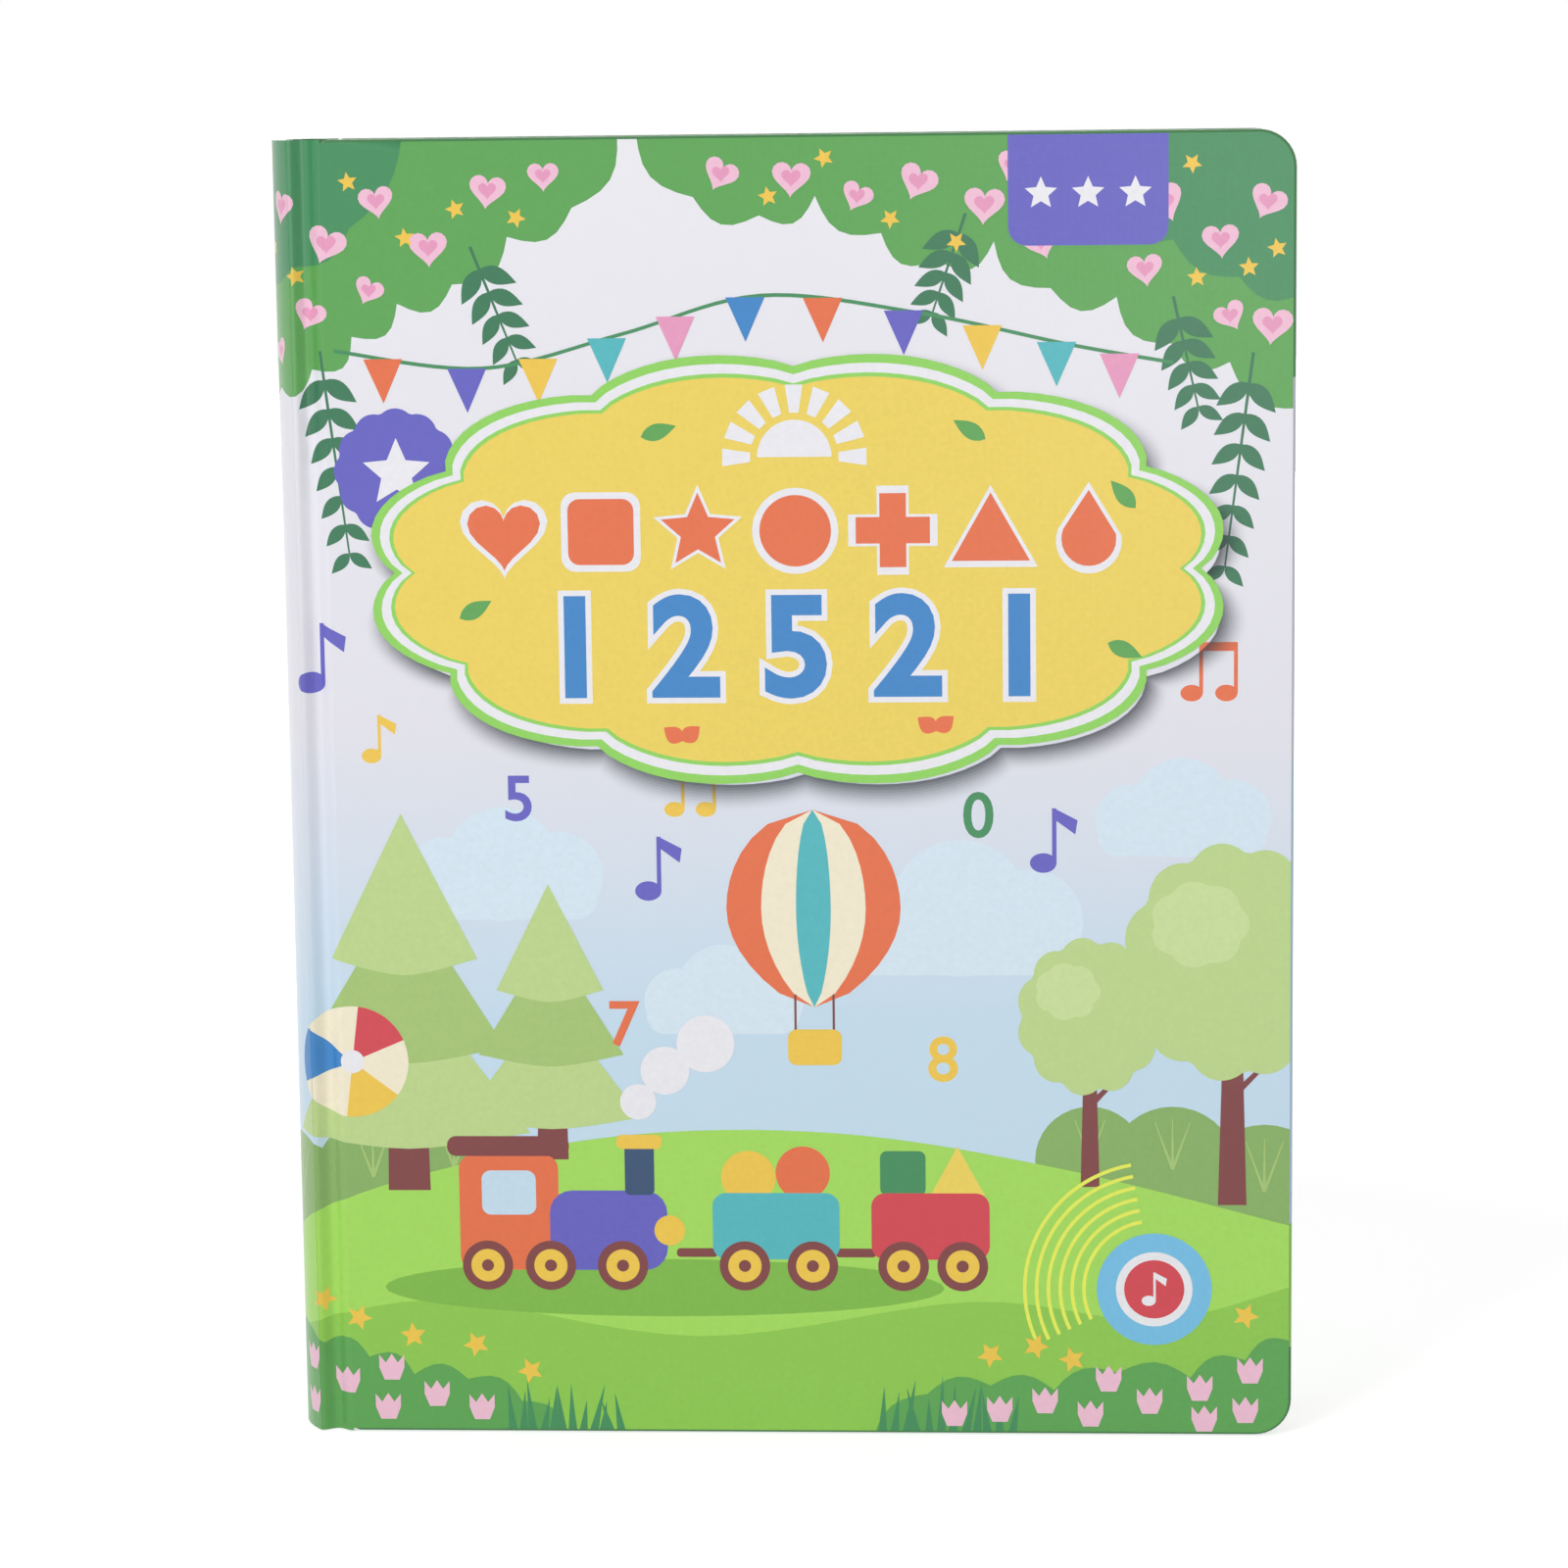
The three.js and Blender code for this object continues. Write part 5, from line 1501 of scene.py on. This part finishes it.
# %% The leaf's print as one piece
mesh = built_mesh("page_print", verts, faces, [ink(colour) for colour in page_inks], indices)
bm = bmesh.new()
bm.from_mesh(mesh)
for face in bm.faces:
    if face.normal.y > 0:
        face.normal_flip()
bmesh.ops.triangulate(bm, faces=bm.faces[:])
bm.to_mesh(mesh)
bm.free()
page_print = add_object("page_print", mesh)
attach(page_print, "block")
print("page_print", len(mesh.polygons), "faces,", len(page_inks), "inks")

# %% [markdown]
# ## White floor and background
# A product photograph on white has a background brighter than anything the lamps should do to the
# book. More light would bleach the print, so the white is seen only by rays that come straight
# from the camera, or by way of metal and glass. For all other rays, the floor and the world are
# ordinary. The floor near the book glows less and takes light as well, so a faint shadow stays.


# %% Rays that see the white background itself
def seen_directly(nodes, links):
    path = nodes.new("ShaderNodeLightPath")
    total = path.outputs["Is Camera Ray"]
    for ray in ("Is Glossy Ray", "Is Transmission Ray"):
        larger = nodes.new("ShaderNodeMath")
        larger.operation = "MAXIMUM"
        links.new(total, larger.inputs[0])
        links.new(path.outputs[ray], larger.inputs[1])
        total = larger.outputs["Value"]
    return total


# %% The floor's sheet
REACH = 4.0
FLOOR_DROP = 0.0002  # so that it doesn't lie in the plane of the book's foot
floor_corners = [(x * REACH, y * REACH, 0) for x, y in ((-1, -1), (1, -1), (1, 1), (-1, 1))]
floor_mesh = bpy.data.meshes.new("floor")
floor_mesh.from_pydata(floor_corners, [], [(0, 1, 2, 3)])
floor = add_object("floor", floor_mesh)
floor.location.z = -FLOOR_DROP
print("floor of", 2 * REACH, "m")

# %% What the camera sees of the floor: a glow that fades to full white, and a little real light
FLOOR_GLOW = 0.62
FLOOR_SHADOW = 0.76
FADE_START, FADE_END = 0.25, 0.7  # metres from the book
material, nodes, links, shader = start("floor_white", 0.9)
shader.inputs["Base Color"].default_value = linear("#EDEDED")
dimmer = nodes.new("ShaderNodeBsdfDiffuse")
dimmer.inputs["Color"].default_value = (FLOOR_SHADOW, FLOOR_SHADOW, FLOOR_SHADOW, 1)
glow = nodes.new("ShaderNodeEmission")
glow.inputs["Color"].default_value = (1, 1, 1, 1)
distance = nodes.new("ShaderNodeVectorMath")
distance.operation = "LENGTH"
links.new(object_coordinates(nodes), distance.inputs[0])
fade = nodes.new("ShaderNodeMapRange")
FADE = {"From Min": FADE_START, "From Max": FADE_END, "To Min": FLOOR_GLOW, "To Max": 1.0}
for socket, value in FADE.items():
    fade.inputs[socket].default_value = value
links.new(distance.outputs["Value"], fade.inputs["Value"])
links.new(fade.outputs["Result"], glow.inputs["Strength"])
shown = nodes.new("ShaderNodeAddShader")
links.new(dimmer.outputs["BSDF"], shown.inputs[0])
links.new(glow.outputs["Emission"], shown.inputs[1])

# %% Join it with the plain floor that lights the book
mix = nodes.new("ShaderNodeMixShader")
links.new(seen_directly(nodes, links), mix.inputs["Fac"])
links.new(shader.outputs["BSDF"], mix.inputs[1])
links.new(shown.outputs["Shader"], mix.inputs[2])
links.new(mix.outputs["Shader"], nodes["Material Output"].inputs["Surface"])
floor_mesh.materials.append(material)
print("floor shown at", FLOOR_GLOW, "and more")

# %% The world: white to look at, softer as light
WORLD_LIGHT = 0.36
world = bpy.data.worlds.new("studio")
bpy.context.scene.world = world
world.use_nodes = True
tree = world.node_tree
background = tree.nodes["Background"]
background.inputs["Color"].default_value = (1, 1, 1, 1)
background.inputs["Strength"].default_value = WORLD_LIGHT
white = tree.nodes.new("ShaderNodeBackground")
white.inputs["Color"].default_value = (1, 1, 1, 1)
mix = tree.nodes.new("ShaderNodeMixShader")
tree.links.new(seen_directly(tree.nodes, tree.links), mix.inputs["Fac"])
tree.links.new(background.outputs["Background"], mix.inputs[1])
tree.links.new(white.outputs["Background"], mix.inputs[2])
tree.links.new(mix.outputs["Shader"], tree.nodes["World Output"].inputs["Surface"])
print("world light", WORLD_LIGHT)

# %% [markdown]
# ## Lamps
# The photograph has broad, soft light from the front and a little from the left, with hardly a
# shadow. Large area lamps do that: a key on the left, a weaker fill on the right, and one behind,
# which lights the back and the inside when the book is seen from there.


# %% A lamp that looks at a place
def lamp(name, place, target, size, power):
    light = bpy.data.lights.new(name, "AREA")
    light.shape = "RECTANGLE"
    light.size, light.size_y = size
    light.energy = power
    holder = add_object(name, light)
    holder.location = place
    aim = Vector(target) - Vector(place)
    holder.rotation_euler = aim.to_track_quat("-Z", "Y").to_euler()


# %% Key, fill and back
BOOK_MIDDLE = (0, 0, 0.14)
lamp("key", (-1.3, -1.9, 1.2), BOOK_MIDDLE, (1.0, 1.0), 26.5)
lamp("fill", (0.7, -2.4, 0.4), BOOK_MIDDLE, (1.4, 1.4), 14)
lamp("back", (0.3, 2.5, 0.25), BOOK_MIDDLE, (1.8, 1.2), 36)
print("lamps", len(bpy.data.lights))

# %% [markdown]
# ## Camera
# The photograph was taken from a little above and to the right, about a metre away. The camera's
# values were found by fitting the cover's outline in the render to the outline in the photograph.
# It is placed by angles round the book, because they can be read and changed one at a time.

# %% Where the camera stands
CAMERA = {
    "turn": 3.4,
    "rise": 8.68,
    "roll": -0.7,
    "distance": 1.0,
    "lens": 104.36,
    "aim": (-0.0009, 0, 0.1434),
}


def camera_place():
    turned, rise, roll = (math.radians(CAMERA[key]) for key in ("turn", "rise", "roll"))
    flat = math.cos(rise)
    out = Vector((math.sin(turned) * flat, -math.cos(turned) * flat, math.sin(rise)))
    right = (-out).cross(Vector((0, 0, 1))).normalized()
    up = right.cross(-out)
    rolled_right = math.cos(roll) * right + math.sin(roll) * up
    rolled_up = -math.sin(roll) * right + math.cos(roll) * up
    matrix = Matrix((rolled_right, rolled_up, out)).transposed().to_4x4()
    matrix.translation = Vector(CAMERA["aim"]) + out * CAMERA["distance"]
    return matrix


# %% The camera and its lens
camera_data = bpy.data.cameras.new("camera")
camera_data.lens = CAMERA["lens"]
camera_data.sensor_width = 36
camera = add_object("camera", camera_data)
camera.matrix_world = camera_place()
bpy.context.scene.camera = camera
bpy.context.scene.view_settings.view_transform = "Standard"
print("lens in mm", CAMERA["lens"], "and height in m", round(camera.matrix_world.translation.z, 3))
